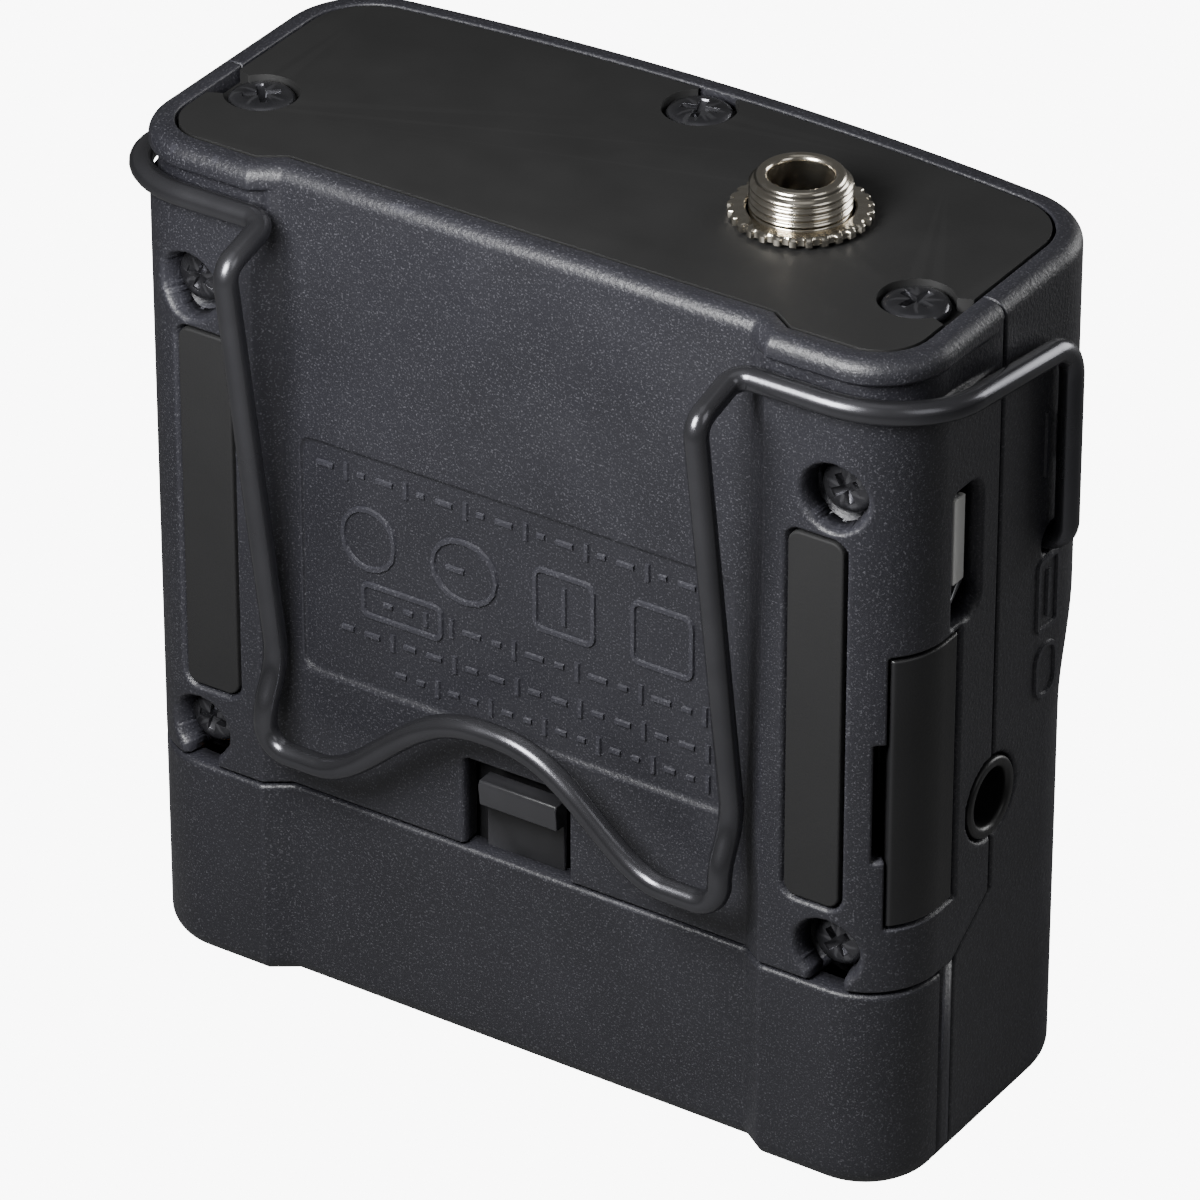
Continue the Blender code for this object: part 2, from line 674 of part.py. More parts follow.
# ---- fasteners -----------------------------------------------------------------
def screw_mesh(name, head_r, head_h, shank_r, shank_l, finish):
    """Cross-head screw along +Z with its head's underside at z = 0."""
    profile = [(0, head_h), (head_r * 0.7, head_h), (head_r, head_h * 0.72), (head_r, 0),
               (shank_r, 0), (shank_r, -shank_l + shank_r), (0, -shank_l)]
    made = turned(name, profile, finish, steps=20)
    arm = head_r * CROSS_SHARE / 2
    for half_x, half_y in ((arm, CROSS_W / 2), (CROSS_W / 2, arm)):
        cut(made, block(name + "_cross", (-half_x, -half_y, head_h - CROSS_DEPTH),
                        (half_x, half_y, head_h + 1)))
    mesh = welded(evaluated_mesh(made))
    mesh.name = name
    drop(made)
    return mesh


def screws():
    top = screw_mesh("top_screw_shape", TOP_HEAD_R, TOP_HEAD_H, TOP_SHANK_R,
                     TOP_SHANK_L, STEEL_BLACK)
    spots = ((TOP_SCREW_X, TOP_SCREW_Y), (-TOP_SCREW_X, TOP_SCREW_Y), (0, FRONT_SCREW_Y))
    for number, (x, y) in enumerate(spots, 1):
        made = bpy.data.objects.new(f"top_screw_{number}", top)
        PARTS.objects.link(made)
        made.location = Vector((x, y, PLATE_TOP - TOP_HEAD_H)) * MM
        made.rotation_euler = (0, 0, math.radians(20 + 25 * number))
    head_y = BACK - WELL_DEPTH + GAP
    length = head_y - SPLIT_Y + SHANK_BITE
    rear = screw_mesh("rear_screw_shape", REAR_HEAD_R, REAR_HEAD_H, REAR_SHANK_R,
                      length, STEEL_BLACK)
    number = 0
    for height in REAR_SCREW_Z:
        for sign in (-1, 1):
            number += 1
            made = bpy.data.objects.new(f"rear_screw_{number}", rear)
            PARTS.objects.link(made)
            made.location = Vector((sign * REAR_SCREW_X, head_y, height)) * MM
            made.rotation_euler = (math.radians(-90), math.radians(35 * number), 0)


# ---- back pads -------------------------------------------------------------------
def pads():
    for side, sign in (("left", 1), ("right", -1)):
        centre = (sign * (PAD_X[0] + PAD_X[1]) / 2, sum(PAD_Z) / 2)
        slab(f"rubber_pad_{side}", rounded_box(
            (PAD_X[1] - PAD_X[0]) / 2 - SEAM, (PAD_Z[1] - PAD_Z[0]) / 2 - SEAM,
            PAD_CORNER - SEAM, centre), BACK - PAD_DEPTH + SEAM, BACK - PAD_DROP,
            RUBBER, axis="Y")


# ---- battery door -------------------------------------------------------------------
def battery_door():
    made = shell("battery_door", GRAINED)
    region = block("door_region", (-WIDTH, DOOR_EDGE_Y, -5), (WIDTH, FAR, DOOR_TOP))
    keep(made, region)
    for sign in (-1, 1):
        low_x, high_x = sorted((sign * KNUCKLE_X, sign * (LUG_X[1] + GAP)))
        cut(made, block("lug_room", (low_x, 0, -5), (high_x, LUG_BACK + GAP, LUG_TOP + GAP)))
    join(made, rod("knuckle", (-KNUCKLE_X, HINGE_Y, HINGE_Z),
                   (KNUCKLE_X, HINGE_Y, HINGE_Z), KNUCKLE_R, sides=16))
    cut(made, rod("knuckle_bore", (-WIDTH, HINGE_Y, HINGE_Z),
                  (WIDTH, HINGE_Y, HINGE_Z), HINGE_BORE_R, sides=12))
    cut(made, block("latch_pocket", (-LATCH_X - GAP, INNER_BACK - 1,
                                     LATCH_LOW - LATCH_TRAVEL - GAP),
                    (LATCH_X + GAP, BACK - RECESS - LATCH_SKIN, DOOR_TOP + 1)))
    set_origin(made, (0, HINGE_Y, HINGE_Z))
    rod("door_hinge_pin", (-LUG_X[1] + 0.1, HINGE_Y, HINGE_Z),
        (LUG_X[1] - 0.1, HINGE_Y, HINGE_Z), HINGE_PIN_R, STEEL, sides=10)


def door_latch():
    plate_y = INNER_BACK + 0.15
    skin = slab("door_latch", [
        (plate_y, LATCH_LOW), (plate_y + LATCH_THICK, LATCH_LOW),
        (plate_y + LATCH_THICK, LATCH_TOP - LATCH_RIDGE - 0.4),
        (plate_y + 1.1, LATCH_TOP - LATCH_RIDGE), (plate_y + 1.25, LATCH_TOP - 0.35),
        (plate_y + 1.0, LATCH_TOP), (plate_y, LATCH_TOP)],
        -LATCH_X, LATCH_X, SMOOTH, axis="X")
    set_origin(skin, (0, plate_y, LATCH_TOP))


def battery_parts():
    low_x, high_x = CELL_X
    cell = turned("battery_cell", [
        (0, high_x + BUTTON_H), (BUTTON_R, high_x + BUTTON_H), (BUTTON_R, high_x),
        (CELL_R, high_x), (CELL_R, low_x), (0, low_x)], CELL_WRAP, steps=24)
    cell.rotation_euler = (0, math.radians(90), 0)
    cell.location = Vector((0, CELL_Y, CELL_Z)) * MM
    low_z = FLOOR + GAP
    tray = slab("battery_tray", [
        (TRAY_FRONT, low_z), (TRAY_FRONT + TRAY_THICK, low_z),
        (TRAY_FRONT + TRAY_THICK, TRAY_TOP), (TRAY_BACK, TRAY_TOP),
        (TRAY_BACK, TRAY_TOP + TRAY_THICK), (TRAY_FRONT, TRAY_TOP + TRAY_THICK)],
        -TRAY_X, TRAY_X, SMOOTH, axis="X")
    join(tray, block("catch_wall", (-CATCH_X, TRAY_BACK - TRAY_THICK, TRAY_TOP),
                     (CATCH_X, TRAY_BACK, CATCH_TOP)))
    end = high_x + BUTTON_H + GAP
    block("battery_contact_plus", (end, CELL_Y - 3.4, CELL_Z - 4),
          (end + CONTACT_THICK, CELL_Y + 1.8, CELL_Z + 4), NICKEL)
    spring = bpy.data.curves.new("battery_spring", "CURVE")
    spring.dimensions = "3D"
    spring.bevel_depth = SPRING_WIRE * MM
    spring.bevel_resolution = 1
    spring.use_fill_caps = True
    line = spring.splines.new("POLY")
    count = SPRING_TURNS * 12
    line.points.add(count)
    start = -TRAY_X + SPRING_WIRE
    length = (low_x - GAP - SPRING_WIRE) - start
    for k, spot in enumerate(line.points):
        share = k / count
        angle = 2 * math.pi * SPRING_TURNS * share
        radius = SPRING_R[0] + (SPRING_R[1] - SPRING_R[0]) * share
        spot.co = ((start + length * share) * MM,
                   (CELL_Y + radius * math.cos(angle)) * MM,
                   (CELL_Z + radius * math.sin(angle)) * MM, 1)
    curve_to_mesh("battery_spring", spring, NICKEL)


def curve_to_mesh(name, curve, finish, origin=(0, 0, 0)):
    guide = bpy.data.objects.new(name + "_guide", curve)
    CUTTERS.objects.link(guide)
    mesh = evaluated_mesh(guide)
    mesh.name = name
    work = bmesh.new()
    work.from_mesh(mesh)
    bmesh.ops.remove_doubles(work, verts=work.verts, dist=0.0001 * MM)
    bmesh.ops.recalc_face_normals(work, faces=work.faces)
    work.to_mesh(mesh)
    work.free()
    drop(guide)
    mesh.materials.clear()
    made = add_object(name, mesh, finish)
    mesh.shade_smooth()
    return set_origin(made, origin)


# ---- side pieces ---------------------------------------------------------------------
def card_cover():
    made = body_solid("card_cover", SMOOTH)
    cut(made, slab("card_cover_room", outline(CARD_DOOR_THICK, FRONT_STEP), 1, HEIGHT + 5))
    keep(made, block("card_cover_region", (-WIDTH, CARD_DOOR_Y, CARD_DOOR_Z[0]),
                     (-CARD_DOOR_X, FAR, CARD_DOOR_Z[1])))
    set_origin(made, (-CARD_HINGE[0], CARD_HINGE[1], sum(CARD_DOOR_Z) / 2))


def sockets():
    low_y, high_y = SOCKET_Y
    half = CARD_W / 2
    made = block("card_socket", (-CARD_END_X + 1.4, low_y, CARD_Z - half - 1.2),
                 (-CARD_END_X + CARD_L + 1.4, high_y, CARD_Z + half + 1.2), NICKEL)
    cut(made, block("card_room", (-WIDTH, low_y + 0.25, CARD_Z - half - GAP),
                    (-CARD_END_X + CARD_L + GAP, high_y - 0.25, CARD_Z + half + GAP)))
    mid = (low_y + high_y) / 2
    slab("memory_card", [
        (-CARD_END_X, CARD_Z - half), (-CARD_END_X + CARD_L, CARD_Z - half),
        (-CARD_END_X + CARD_L, CARD_Z + half - 1.4),
        (-CARD_END_X + CARD_L - 5.5, CARD_Z + half - 1.4),
        (-CARD_END_X + CARD_L - 6.5, CARD_Z + half), (-CARD_END_X, CARD_Z + half)],
        mid - CARD_T / 2, mid + CARD_T / 2, CARD_BLACK, axis="Y")

    mouth = -SIDE + USB_INSET

    def trapezium(wide_y, wide_z):
        top, low = USB_Y + wide_y / 2, USB_Y - wide_y / 2
        return [(top, USB_Z - wide_z / 2), (top, USB_Z + wide_z / 2),
                (USB_Y, USB_Z + wide_z / 2), (low, USB_Z + wide_z / 2 - USB_SKEW),
                (low, USB_Z - wide_z / 2 + USB_SKEW), (USB_Y, USB_Z - wide_z / 2)]

    usb = slab("usb_socket", trapezium(*USB_SHELL), mouth, mouth + USB_L, NICKEL, axis="X")
    inner = [side - 2 * USB_WALL for side in USB_SHELL]
    cut(usb, slab("usb_room", trapezium(*inner), mouth - 1,
                  mouth + USB_L - 2 * USB_WALL, axis="X"))
    block("usb_tongue", (mouth + 0.8, USB_Y + 0.05, USB_Z - 1.9),
          (mouth + USB_L - 3 * USB_WALL, USB_Y + 0.55, USB_Z + 1.9), SMOOTH)

    outer = SIDE + PHONES_PROUD
    phones = turned("headphone_jack", [
        (0, outer - PHONES_L + 1), (PHONES_BORE, outer - PHONES_L + 1),
        (PHONES_BORE, outer), (PHONES_R - 0.3, outer), (PHONES_R, outer - 0.3),
        (PHONES_R, outer - PHONES_L), (0, outer - PHONES_L)], SMOOTH)
    phones.rotation_euler = (0, math.radians(-90), 0)
    phones.location = Vector((0, PHONES_Y, PHONES_Z)) * MM


# ---- microphone jack --------------------------------------------------------------------
def mic_jack():
    thread_top = JACK_TOP - 0.35
    profile = [(JACK_BORE, JACK_TOP - 0.3), (JACK_BORE + 0.25, JACK_TOP),
               (JACK_RING_R - 0.2, JACK_TOP), (JACK_RING_R, JACK_TOP - 0.2)]
    for k in range(THREAD_CRESTS):
        crest = thread_top - THREAD_PITCH * (k + 0.5)
        profile.append((THREAD_R - THREAD_DEPTH, crest + THREAD_PITCH / 2))
        profile.append((THREAD_R, crest))
    low = PLATE_LOW - GAP
    profile += [(THREAD_R - THREAD_DEPTH, thread_top - THREAD_PITCH * THREAD_CRESTS),
                (THREAD_R - THREAD_DEPTH, low), (JACK_FLANGE_R, low),
                (JACK_FLANGE_R, low - 0.8), (JACK_BORE, low - 0.8)]
    barrel = turned("mic_jack_barrel", profile, NICKEL, steps=28, closed=True)
    barrel.location = Vector((JACK_X, JACK_Y, 0)) * MM
    nut_points = []
    for k in range(NUT_TEETH):
        for share, radius in ((-0.30, NUT_R - NUT_TOOTH), (-0.22, NUT_R),
                              (0.22, NUT_R), (0.30, NUT_R - NUT_TOOTH)):
            angle = 2 * math.pi * (k + share) / NUT_TEETH
            nut_points.append((JACK_X + radius * math.cos(angle),
                               JACK_Y + radius * math.sin(angle)))
    nut = slab("mic_jack_nut", nut_points, PLATE_TOP + NUT_LIFT,
               PLATE_TOP + NUT_LIFT + NUT_THICK, NICKEL)
    cut(nut, rod("nut_bore", (JACK_X, JACK_Y, 0), (JACK_X, JACK_Y, JACK_TOP + 1),
                 THREAD_R + 0.15, sides=24))
    top = low - 0.8 - GAP
    half = JACK_BODY / 2
    body = block("mic_jack_body", (JACK_X - half, JACK_Y - half, JACK_BODY_LOW),
                 (JACK_X + half, JACK_Y + half, top), SMOOTH)
    cut(body, rod("jack_body_bore", (JACK_X, JACK_Y, JACK_BODY_LOW + 1),
                  (JACK_X, JACK_Y, HEIGHT), JACK_BORE, sides=16))


# ---- wire clip --------------------------------------------------------------------------
def rounded_path(corners, radii, steps=4):
    """Points along a bent wire: straight runs, with an arc at each inner corner."""
    spots = [Vector(c) for c in corners]
    path = [spots[0]]
    for k in range(1, len(spots) - 1):
        here = spots[k]
        before = (spots[k - 1] - here).normalized()
        after = (spots[k + 1] - here).normalized()
        half_angle = before.angle(after) / 2
        back = radii[k - 1] / math.tan(half_angle)
        first, last = here + before * back, here + after * back
        centre = here + (before + after).normalized() * (radii[k - 1] / math.sin(half_angle))
        arm_a = (first - centre).normalized()
        arm_b = (last - centre).normalized()
        for step in range(steps + 1):
            path.append(centre + arm_a.slerp(arm_b, step / steps) * radii[k - 1])
    path.append(spots[-1])
    return path


def wire_curve(name, points):
    wire = bpy.data.curves.new(name, "CURVE")
    wire.dimensions = "3D"
    wire.bevel_depth = WIRE_R * MM
    wire.bevel_resolution = 2
    wire.use_fill_caps = True
    line = wire.splines.new("POLY")
    line.points.add(len(points) - 1)
    for spot, point in zip(line.points, points):
        spot.co = (*(point * MM), 1)
    return wire


def hump(x):
    """Height of the clip's lower edge between its two lobes."""
    if abs(x) >= HUMP_HALF:
        return LOBE_Z
    rise = (HUMP_TOP - LOBE_Z) / 2
    share = (abs(x) / HUMP_HALF) ** HUMP_POWER
    return LOBE_Z + rise * (1 + math.cos(math.pi * share))


def tongue_points():
    right = rounded_path([
        (SPLIT_X - GAP / 2, RUN_Y, RUN_Z), (LEG_X, RUN_Y, RUN_Z),
        (LEG_X, *LEG_TOP), (LEG_X, *KINK), (LEG_X, FLARE_Y, LOBE_Z + FLARE_H),
        (LEG_X, FLARE_Y, LOBE_Z), (HUMP_HALF, FLARE_Y, LOBE_Z)],
        [TOP_BEND, TOP_BEND, BEND, BEND / 2, BEND])
    inner = [Vector((HUMP_HALF * k / 10, FLARE_Y, hump(HUMP_HALF * k / 10)))
             for k in range(9, 0, -1)]
    right += inner
    left = [Vector((-p.x, p.y, p.z)) for p in reversed(right)]
    return right + [Vector((0, FLARE_Y, HUMP_TOP))] + left


def clip():
    curve_to_mesh("clip_tongue", wire_curve("clip_tongue", tongue_points()),
                  SPRING_STEEL, (0, RUN_Y, RUN_Z))
    for side, sign in (("left", 1), ("right", -1)):
        points = rounded_path([
            (ANCHOR_IN_X, ANCHOR_Y, ANCHOR_Z), (SIDE_X, ANCHOR_Y, ANCHOR_Z),
            (SIDE_X, ANCHOR_Y, ANCHOR_TOP_Z), (SIDE_X, RUN_Y, RUN_Z),
            (SPLIT_X + GAP / 2, RUN_Y, RUN_Z)], [WIRE_R * 2, BEND * 1.5, CORNER_BEND])
        points = [Vector((sign * p.x, p.y, p.z)) for p in points]
        name = f"clip_anchor_{side}"
        curve_to_mesh(name, wire_curve(name, points), SPRING_STEEL)


# ---- front pieces --------------------------------------------------------------------------
def front_pieces():
    window = body_solid("display_window", CLEAR)
    cut(window, slab("window_room", outline(DISPLAY_SKIN), 1, HEIGHT + 5))
    keep(window, slab("window_region", rounded_box(
        DISPLAY_X, (DISPLAY_Z[1] - DISPLAY_Z[0]) / 2, 0.8, (0, sum(DISPLAY_Z) / 2)),
        -FAR, 0, axis="Y"))
    block("display_module", (-DISPLAY_X - 0.8, MODULE_Y[0], DISPLAY_Z[0] - 0.7),
          (DISPLAY_X + 0.8, MODULE_Y[1], DISPLAY_Z[1] + 0.3), DISPLAY_DARK)
    flange_front = KEY_FLANGE_BACK - KEY_FLANGE
    for number, (x, name) in enumerate(zip(KEY_X, KEY_NAMES), 1):
        front = bow(x) + FRONT_STEP - KEY_PROUD
        key = slab(name, rounded_box(KEY_SIZE[0] / 2, KEY_SIZE[1] / 2, 0.8, (x, KEY_Z)),
                   front, flange_front + 0.3, SMOOTH, axis="Y")
        join(key, block(name + "_flange",
                        (x - KEY_SIZE[0] / 2 - 0.6, flange_front, KEY_Z - KEY_SIZE[1] / 2 - 0.6),
                        (x + KEY_SIZE[0] / 2 + 0.6, KEY_FLANGE_BACK,
                         KEY_Z + KEY_SIZE[1] / 2 + 0.6)))
        set_origin(key, (x, front, KEY_Z))
        block(f"tact_switch_{number}", (x - 2.2, TACT_Y[0], KEY_Z - 1.7),
              (x + 2.2, TACT_Y[1], KEY_Z + 1.7), NICKEL)
    for name, x, size in (("record_switch", RECORD_X, RECORD_KNOB),
                          ("power_switch", POWER_X, POWER_KNOB)):
        face = bow(x) + FRONT_STEP
        knob = slab(name, rounded_box(size[0] / 2, size[1] / 2, 0.8, (x, SWITCH_Z)),
                    face - KNOB_PROUD, face - GAP, SMOOTH, axis="Y")
        inside = face + WALL + 2 * GAP
        join(knob, block(name + "_stem", (x - STEM_H / 2, face - 0.5, SWITCH_Z - STEM_H / 2),
                         (x + STEM_H / 2, inside + 0.5, SWITCH_Z + STEM_H / 2)))
        join(knob, block(name + "_foot", (x - 2.4, inside, SWITCH_Z - 2),
                         (x + 2.4, inside + 0.8, SWITCH_Z + 2)))
        set_origin(knob, (x, face, SWITCH_Z))
    face = bow(PIPE_X) + FRONT_STEP
    rod("light_pipe", (PIPE_X, face - 0.1, SWITCH_Z), (PIPE_X, face + 4.0, SWITCH_Z),
        PIPE_R, CLEAR, sides=16)


# ---- boards -----------------------------------------------------------------------------------
def boards():
    block("main_board", (-MAIN_X, MAIN_Y[0], MAIN_Z[0]), (MAIN_X, MAIN_Y[1], MAIN_Z[1]), BOARD)
    block("front_board", (-FRONT_BOARD_X, FRONT_BOARD_Y[0], FRONT_BOARD_Z[0]),
          (FRONT_BOARD_X, FRONT_BOARD_Y[1], FRONT_BOARD_Z[1]), BOARD)
    chip_y = (MAIN_Y[0] - GAP - CHIP_H, MAIN_Y[0] - GAP)
    for name, (low_x, low_z, high_x, high_z) in CHIPS.items():
        block(name, (low_x, chip_y[0], low_z), (high_x, chip_y[1], high_z), CHIP)
    low_x, low_z, high_x, high_z = CONNECTOR
    block("board_connector", (low_x, FRONT_BOARD_Y[1] + GAP, low_z),
          (high_x, MAIN_Y[0] - GAP - CONNECTOR_DEPTH, high_z), CHIP)


def clear_scene():
    for made in list(bpy.data.objects):
        bpy.data.objects.remove(made)


clear_scene()
PARTS = collection(PRODUCT)
CUTTERS = collection("cutters")
GRAINED = material("grained_black_plastic", (0.035, 0.035, 0.04), 0.6)
SMOOTH = material("smooth_black_plastic", (0.02, 0.02, 0.022), 0.45)
MATT = material("matt_black_plate", (0.022, 0.022, 0.022), 0.7)
RUBBER = material("black_rubber", (0.012, 0.012, 0.013), 0.8)
STEEL_BLACK = material("black_screw_steel", (0.015, 0.015, 0.016), 0.25, 0.6)
STEEL = material("hinge_steel", (0.5, 0.5, 0.52), 0.3, 1.0)
SPRING_STEEL = material("black_spring_wire", (0.03, 0.03, 0.033), 0.3, 0.5)
NICKEL = material("nickel_plate", (0.7, 0.68, 0.65), 0.2, 1.0)
CLEAR = material("clear_plastic", (0.05, 0.06, 0.07), 0.05)
DISPLAY_DARK = material("display_dark", (0.01, 0.01, 0.015), 0.3)
BOARD = material("circuit_board", (0.02, 0.12, 0.05), 0.5)
CHIP = material("chip_black", (0.02, 0.02, 0.02), 0.5)
CELL_WRAP = material("cell_wrapper", (0.35, 0.36, 0.38), 0.35)
CARD_BLACK = material("card_black", (0.02, 0.02, 0.02), 0.4)

front_cover()
rear_cover()
top_plate()
screws()
pads()
battery_door()
door_latch()
battery_parts()
card_cover()
sockets()
mic_jack()
clip()
front_pieces()
boards()
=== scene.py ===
# %% [markdown]
# # A pocket audio pack with a wire belt clip
# The engineering model gives every piece its place.  This script starts from it, swaps the
# casing, the wire and the metalwork for finely made pieces, and gives each piece a finish
# with real grain.  All sizes are in millimetres until a mesh is written, then in metres.

# %% Load the frame
import math

import bmesh
import bpy
import numpy as np
from mathutils import Matrix, Vector


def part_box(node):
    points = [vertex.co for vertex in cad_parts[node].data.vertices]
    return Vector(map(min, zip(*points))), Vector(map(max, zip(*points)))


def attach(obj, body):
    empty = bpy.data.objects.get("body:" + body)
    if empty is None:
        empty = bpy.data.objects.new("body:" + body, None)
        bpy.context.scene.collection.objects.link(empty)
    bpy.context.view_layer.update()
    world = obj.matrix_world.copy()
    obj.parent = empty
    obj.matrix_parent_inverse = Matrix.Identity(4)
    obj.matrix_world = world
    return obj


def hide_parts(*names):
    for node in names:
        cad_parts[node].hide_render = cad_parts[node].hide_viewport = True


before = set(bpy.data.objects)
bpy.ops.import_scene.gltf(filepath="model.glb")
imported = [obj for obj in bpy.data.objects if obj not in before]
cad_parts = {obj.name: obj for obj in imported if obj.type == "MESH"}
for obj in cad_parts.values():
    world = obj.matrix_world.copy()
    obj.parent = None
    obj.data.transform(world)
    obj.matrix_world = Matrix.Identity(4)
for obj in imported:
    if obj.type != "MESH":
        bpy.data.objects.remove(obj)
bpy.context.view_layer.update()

MM = 0.001


def box_mm(node):
    """Lowest and highest corner of an engineering node, in millimetres."""
    return [np.array(corner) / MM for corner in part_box(node)]


def middle(node):
    """Middle and half size of an engineering node, in millimetres."""
    low, high = box_mm(node)
    return (low + high) / 2, (high - low) / 2


FRONT_LOW, FRONT_HIGH = box_mm("front_cover")
REAR_HIGH = box_mm("rear_cover")[1]
print("casing", FRONT_LOW.round(2), REAR_HIGH.round(2))

# %% [markdown]
# ## Camera
# A long lens from well back keeps the verticals almost parallel.  The camera stands above
# the back corner of the side with the sockets and looks down at about 31 degrees.

# %% Camera
AZIMUTH = math.radians(213.23)
ELEVATION = math.radians(31.42)
DISTANCE = 472.2
TARGET = Vector((1.55, -0.35, 24.42))


def aim(thing, place, target):
    """Puts a lamp or camera at a place and turns its -Z towards the target."""
    thing.location = place * MM
    thing.rotation_euler = (target - place).to_track_quat("-Z", "Y").to_euler()


def direction(azimuth, elevation):
    """Unit vector from the target towards a viewer at that angle."""
    flat = math.cos(elevation)
    return Vector((math.sin(azimuth) * flat, -math.cos(azimuth) * flat, math.sin(elevation)))


def new_object(name, data):
    """An object with its data, linked to the scene."""
    made = bpy.data.objects.new(name, data)
    bpy.context.scene.collection.objects.link(made)
    return made


lens = bpy.data.cameras.new("camera")
lens.lens = 251.5
lens.sensor_width = 36.0
camera = new_object("camera", lens)
aim(camera, TARGET + direction(AZIMUTH, ELEVATION) * DISTANCE, TARGET)
bpy.context.scene.camera = camera

# %% [markdown]
# ## Making meshes
# Every piece is named and smoothed as its mesh is made, and one function then gives it its
# finish, puts it on its body and hides the engineering nodes that it replaces.

# %% Piece helpers


def linear(code):
    """An sRGB hex colour as linear red, green, blue and alpha."""
    values = [int(code[k:k + 2], 16) / 255 for k in (1, 3, 5)]
    return tuple(v / 12.92 if v <= 0.04045 else ((v + 0.055) / 1.055) ** 2.4
                 for v in values) + (1.0,)


def add_node(tree, kind, settings=None, links=None):
    """Adds a node, sets its values and links its inputs."""
    made = tree.nodes.new(kind)
    for name, value in (settings or {}).items():
        if isinstance(name, int) or name in made.inputs:
            made.inputs[name].default_value = value
        else:
            setattr(made, name, value)
    for name, source in (links or {}).items():
        tree.links.new(source, made.inputs[name])
    return made


def finish_piece(made, body, material, replaces=()):
    """Gives a piece its material and body, and hides the engineering nodes that it replaces."""
    made.data.materials.clear()
    made.data.materials.append(material)
    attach(made, body)
    if replaces:
        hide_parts(*replaces)
    return made


def mesh_object(name, points, faces):
    """A mesh object from points in millimetres."""
    mesh = bpy.data.meshes.new(name)
    mesh.from_pydata([tuple(p) for p in np.asarray(points) * MM], [], faces)
    return tidy_mesh(new_object(name, mesh))


def tidy_mesh(made, weld=0.0004):
    """Welds doubles, turns the faces outwards and shades smooth."""
    work = bmesh.new()
    work.from_mesh(made.data)
    bmesh.ops.remove_doubles(work, verts=work.verts, dist=weld * MM)
    bmesh.ops.recalc_face_normals(work, faces=work.faces)
    work.to_mesh(made.data)
    work.free()
    made.data.shade_smooth()
    return made


def apply_modifiers(made):
    """Replaces the object's mesh with its modified mesh."""
    bpy.context.view_layer.update()
    seen = made.evaluated_get(bpy.context.evaluated_depsgraph_get())
    mesh = bpy.data.meshes.new_from_object(seen)
    made.modifiers.clear()
    made.data = mesh
    return made


def carve(made, *cutters, operation="DIFFERENCE"):
    """Exact Boolean with each cutter in turn; the cutters are removed."""
    for cutter in cutters:
        step = made.modifiers.new("carve", "BOOLEAN")
        step.solver = "EXACT"
        step.operation = operation
        step.object = cutter
        apply_modifiers(made)
        bpy.data.objects.remove(cutter)
    return made


def soften(made, width, segments=3, angle=35):
    """Rounds the sharp edges, then keeps flat faces flat with weighted normals."""
    bevel = made.modifiers.new("soften", "BEVEL")
    bevel.width = width * MM
    bevel.segments = segments
    bevel.limit_method = "ANGLE"
    bevel.angle_limit = math.radians(angle)
    bevel.use_clamp_overlap = True
    apply_modifiers(made)
    made.data.shade_smooth()
    weigh = made.modifiers.new("weigh", "WEIGHTED_NORMAL")
    weigh.keep_sharp = True
    return apply_modifiers(made)


def prism(name, outline, low, high, axis="Z"):
    """A flat outline with thickness: (x, y) along Z, (x, z) along Y or (y, z) along X."""
    place = {"Z": lambda u, v, w: (u, v, w), "Y": lambda u, v, w: (u, w, v),
             "X": lambda u, v, w: (w, u, v)}[axis]
    count = len(outline)
    points = [place(u, v, w) for w in (low, high) for u, v in outline]
    faces = [tuple(range(count)), tuple(range(count, 2 * count))]
    for k in range(count):
        n = (k + 1) % count
        faces.append((k, n, n + count, k + count))
    return mesh_object(name, points, faces)


def cuboid(name, low, high):
    """A box between two corners."""
    corners = [(low[0], low[1]), (high[0], low[1]), (high[0], high[1]), (low[0], high[1])]
    return prism(name, corners, low[2], high[2])


def rounded_outline(half_u, half_v, radius, centre=(0.0, 0.0), steps=10):
    """A rectangle with round corners."""
    points = []
    for turn, (su, sv) in enumerate(((1, 1), (-1, 1), (-1, -1), (1, -1))):
        for k in range(steps + 1):
            angle = math.radians(90 * turn + 90 * k / steps)
            points.append((centre[0] + su * (half_u - radius) + radius * math.cos(angle),
                           centre[1] + sv * (half_v - radius) + radius * math.sin(angle)))
    return points


def circle(radius, centre=(0.0, 0.0), steps=64):
    """Points on a circle."""
    return [(centre[0] + radius * math.cos(2 * math.pi * k / steps),
             centre[1] + radius * math.sin(2 * math.pi * k / steps)) for k in range(steps)]


def lathe(name, profile, steps=72, ripple=None, place=None):
    """Turns a profile of (radius, height) about Z.  ripple changes a radius with its angle."""
    points, faces = [], []
    count = len(profile)
    for s in range(steps):
        angle = 2 * math.pi * s / steps
        for k, (r, z) in enumerate(profile):
            r = ripple(k, r, angle) if ripple else r
            points.append((r * math.cos(angle), r * math.sin(angle), z))
    for s in range(steps):
        a, b = s * count, ((s + 1) % steps) * count
        for k in range(count):
            n = (k + 1) % count
            faces.append((a + k, a + n, b + n, b + k))
    if place is not None:
        points = [place @ Vector(p) for p in points]
    return mesh_object(name, points, faces)


# %% [markdown]
# ## The casing as smooth skins
# A moulded casing is one smooth wall with pockets, wells and holes pressed into it, and
# every edge is a little round.  Cutting a mesh with Booleans leaves thin faces that shade
# badly.  So each cover is a fine grid that follows the plan of the casing: its columns run
# round the plan and its rows run up the height.  A pocket is a depth at each grid point,
# with its edge rounded by a formula, and a hole is a set of grid cells left out.

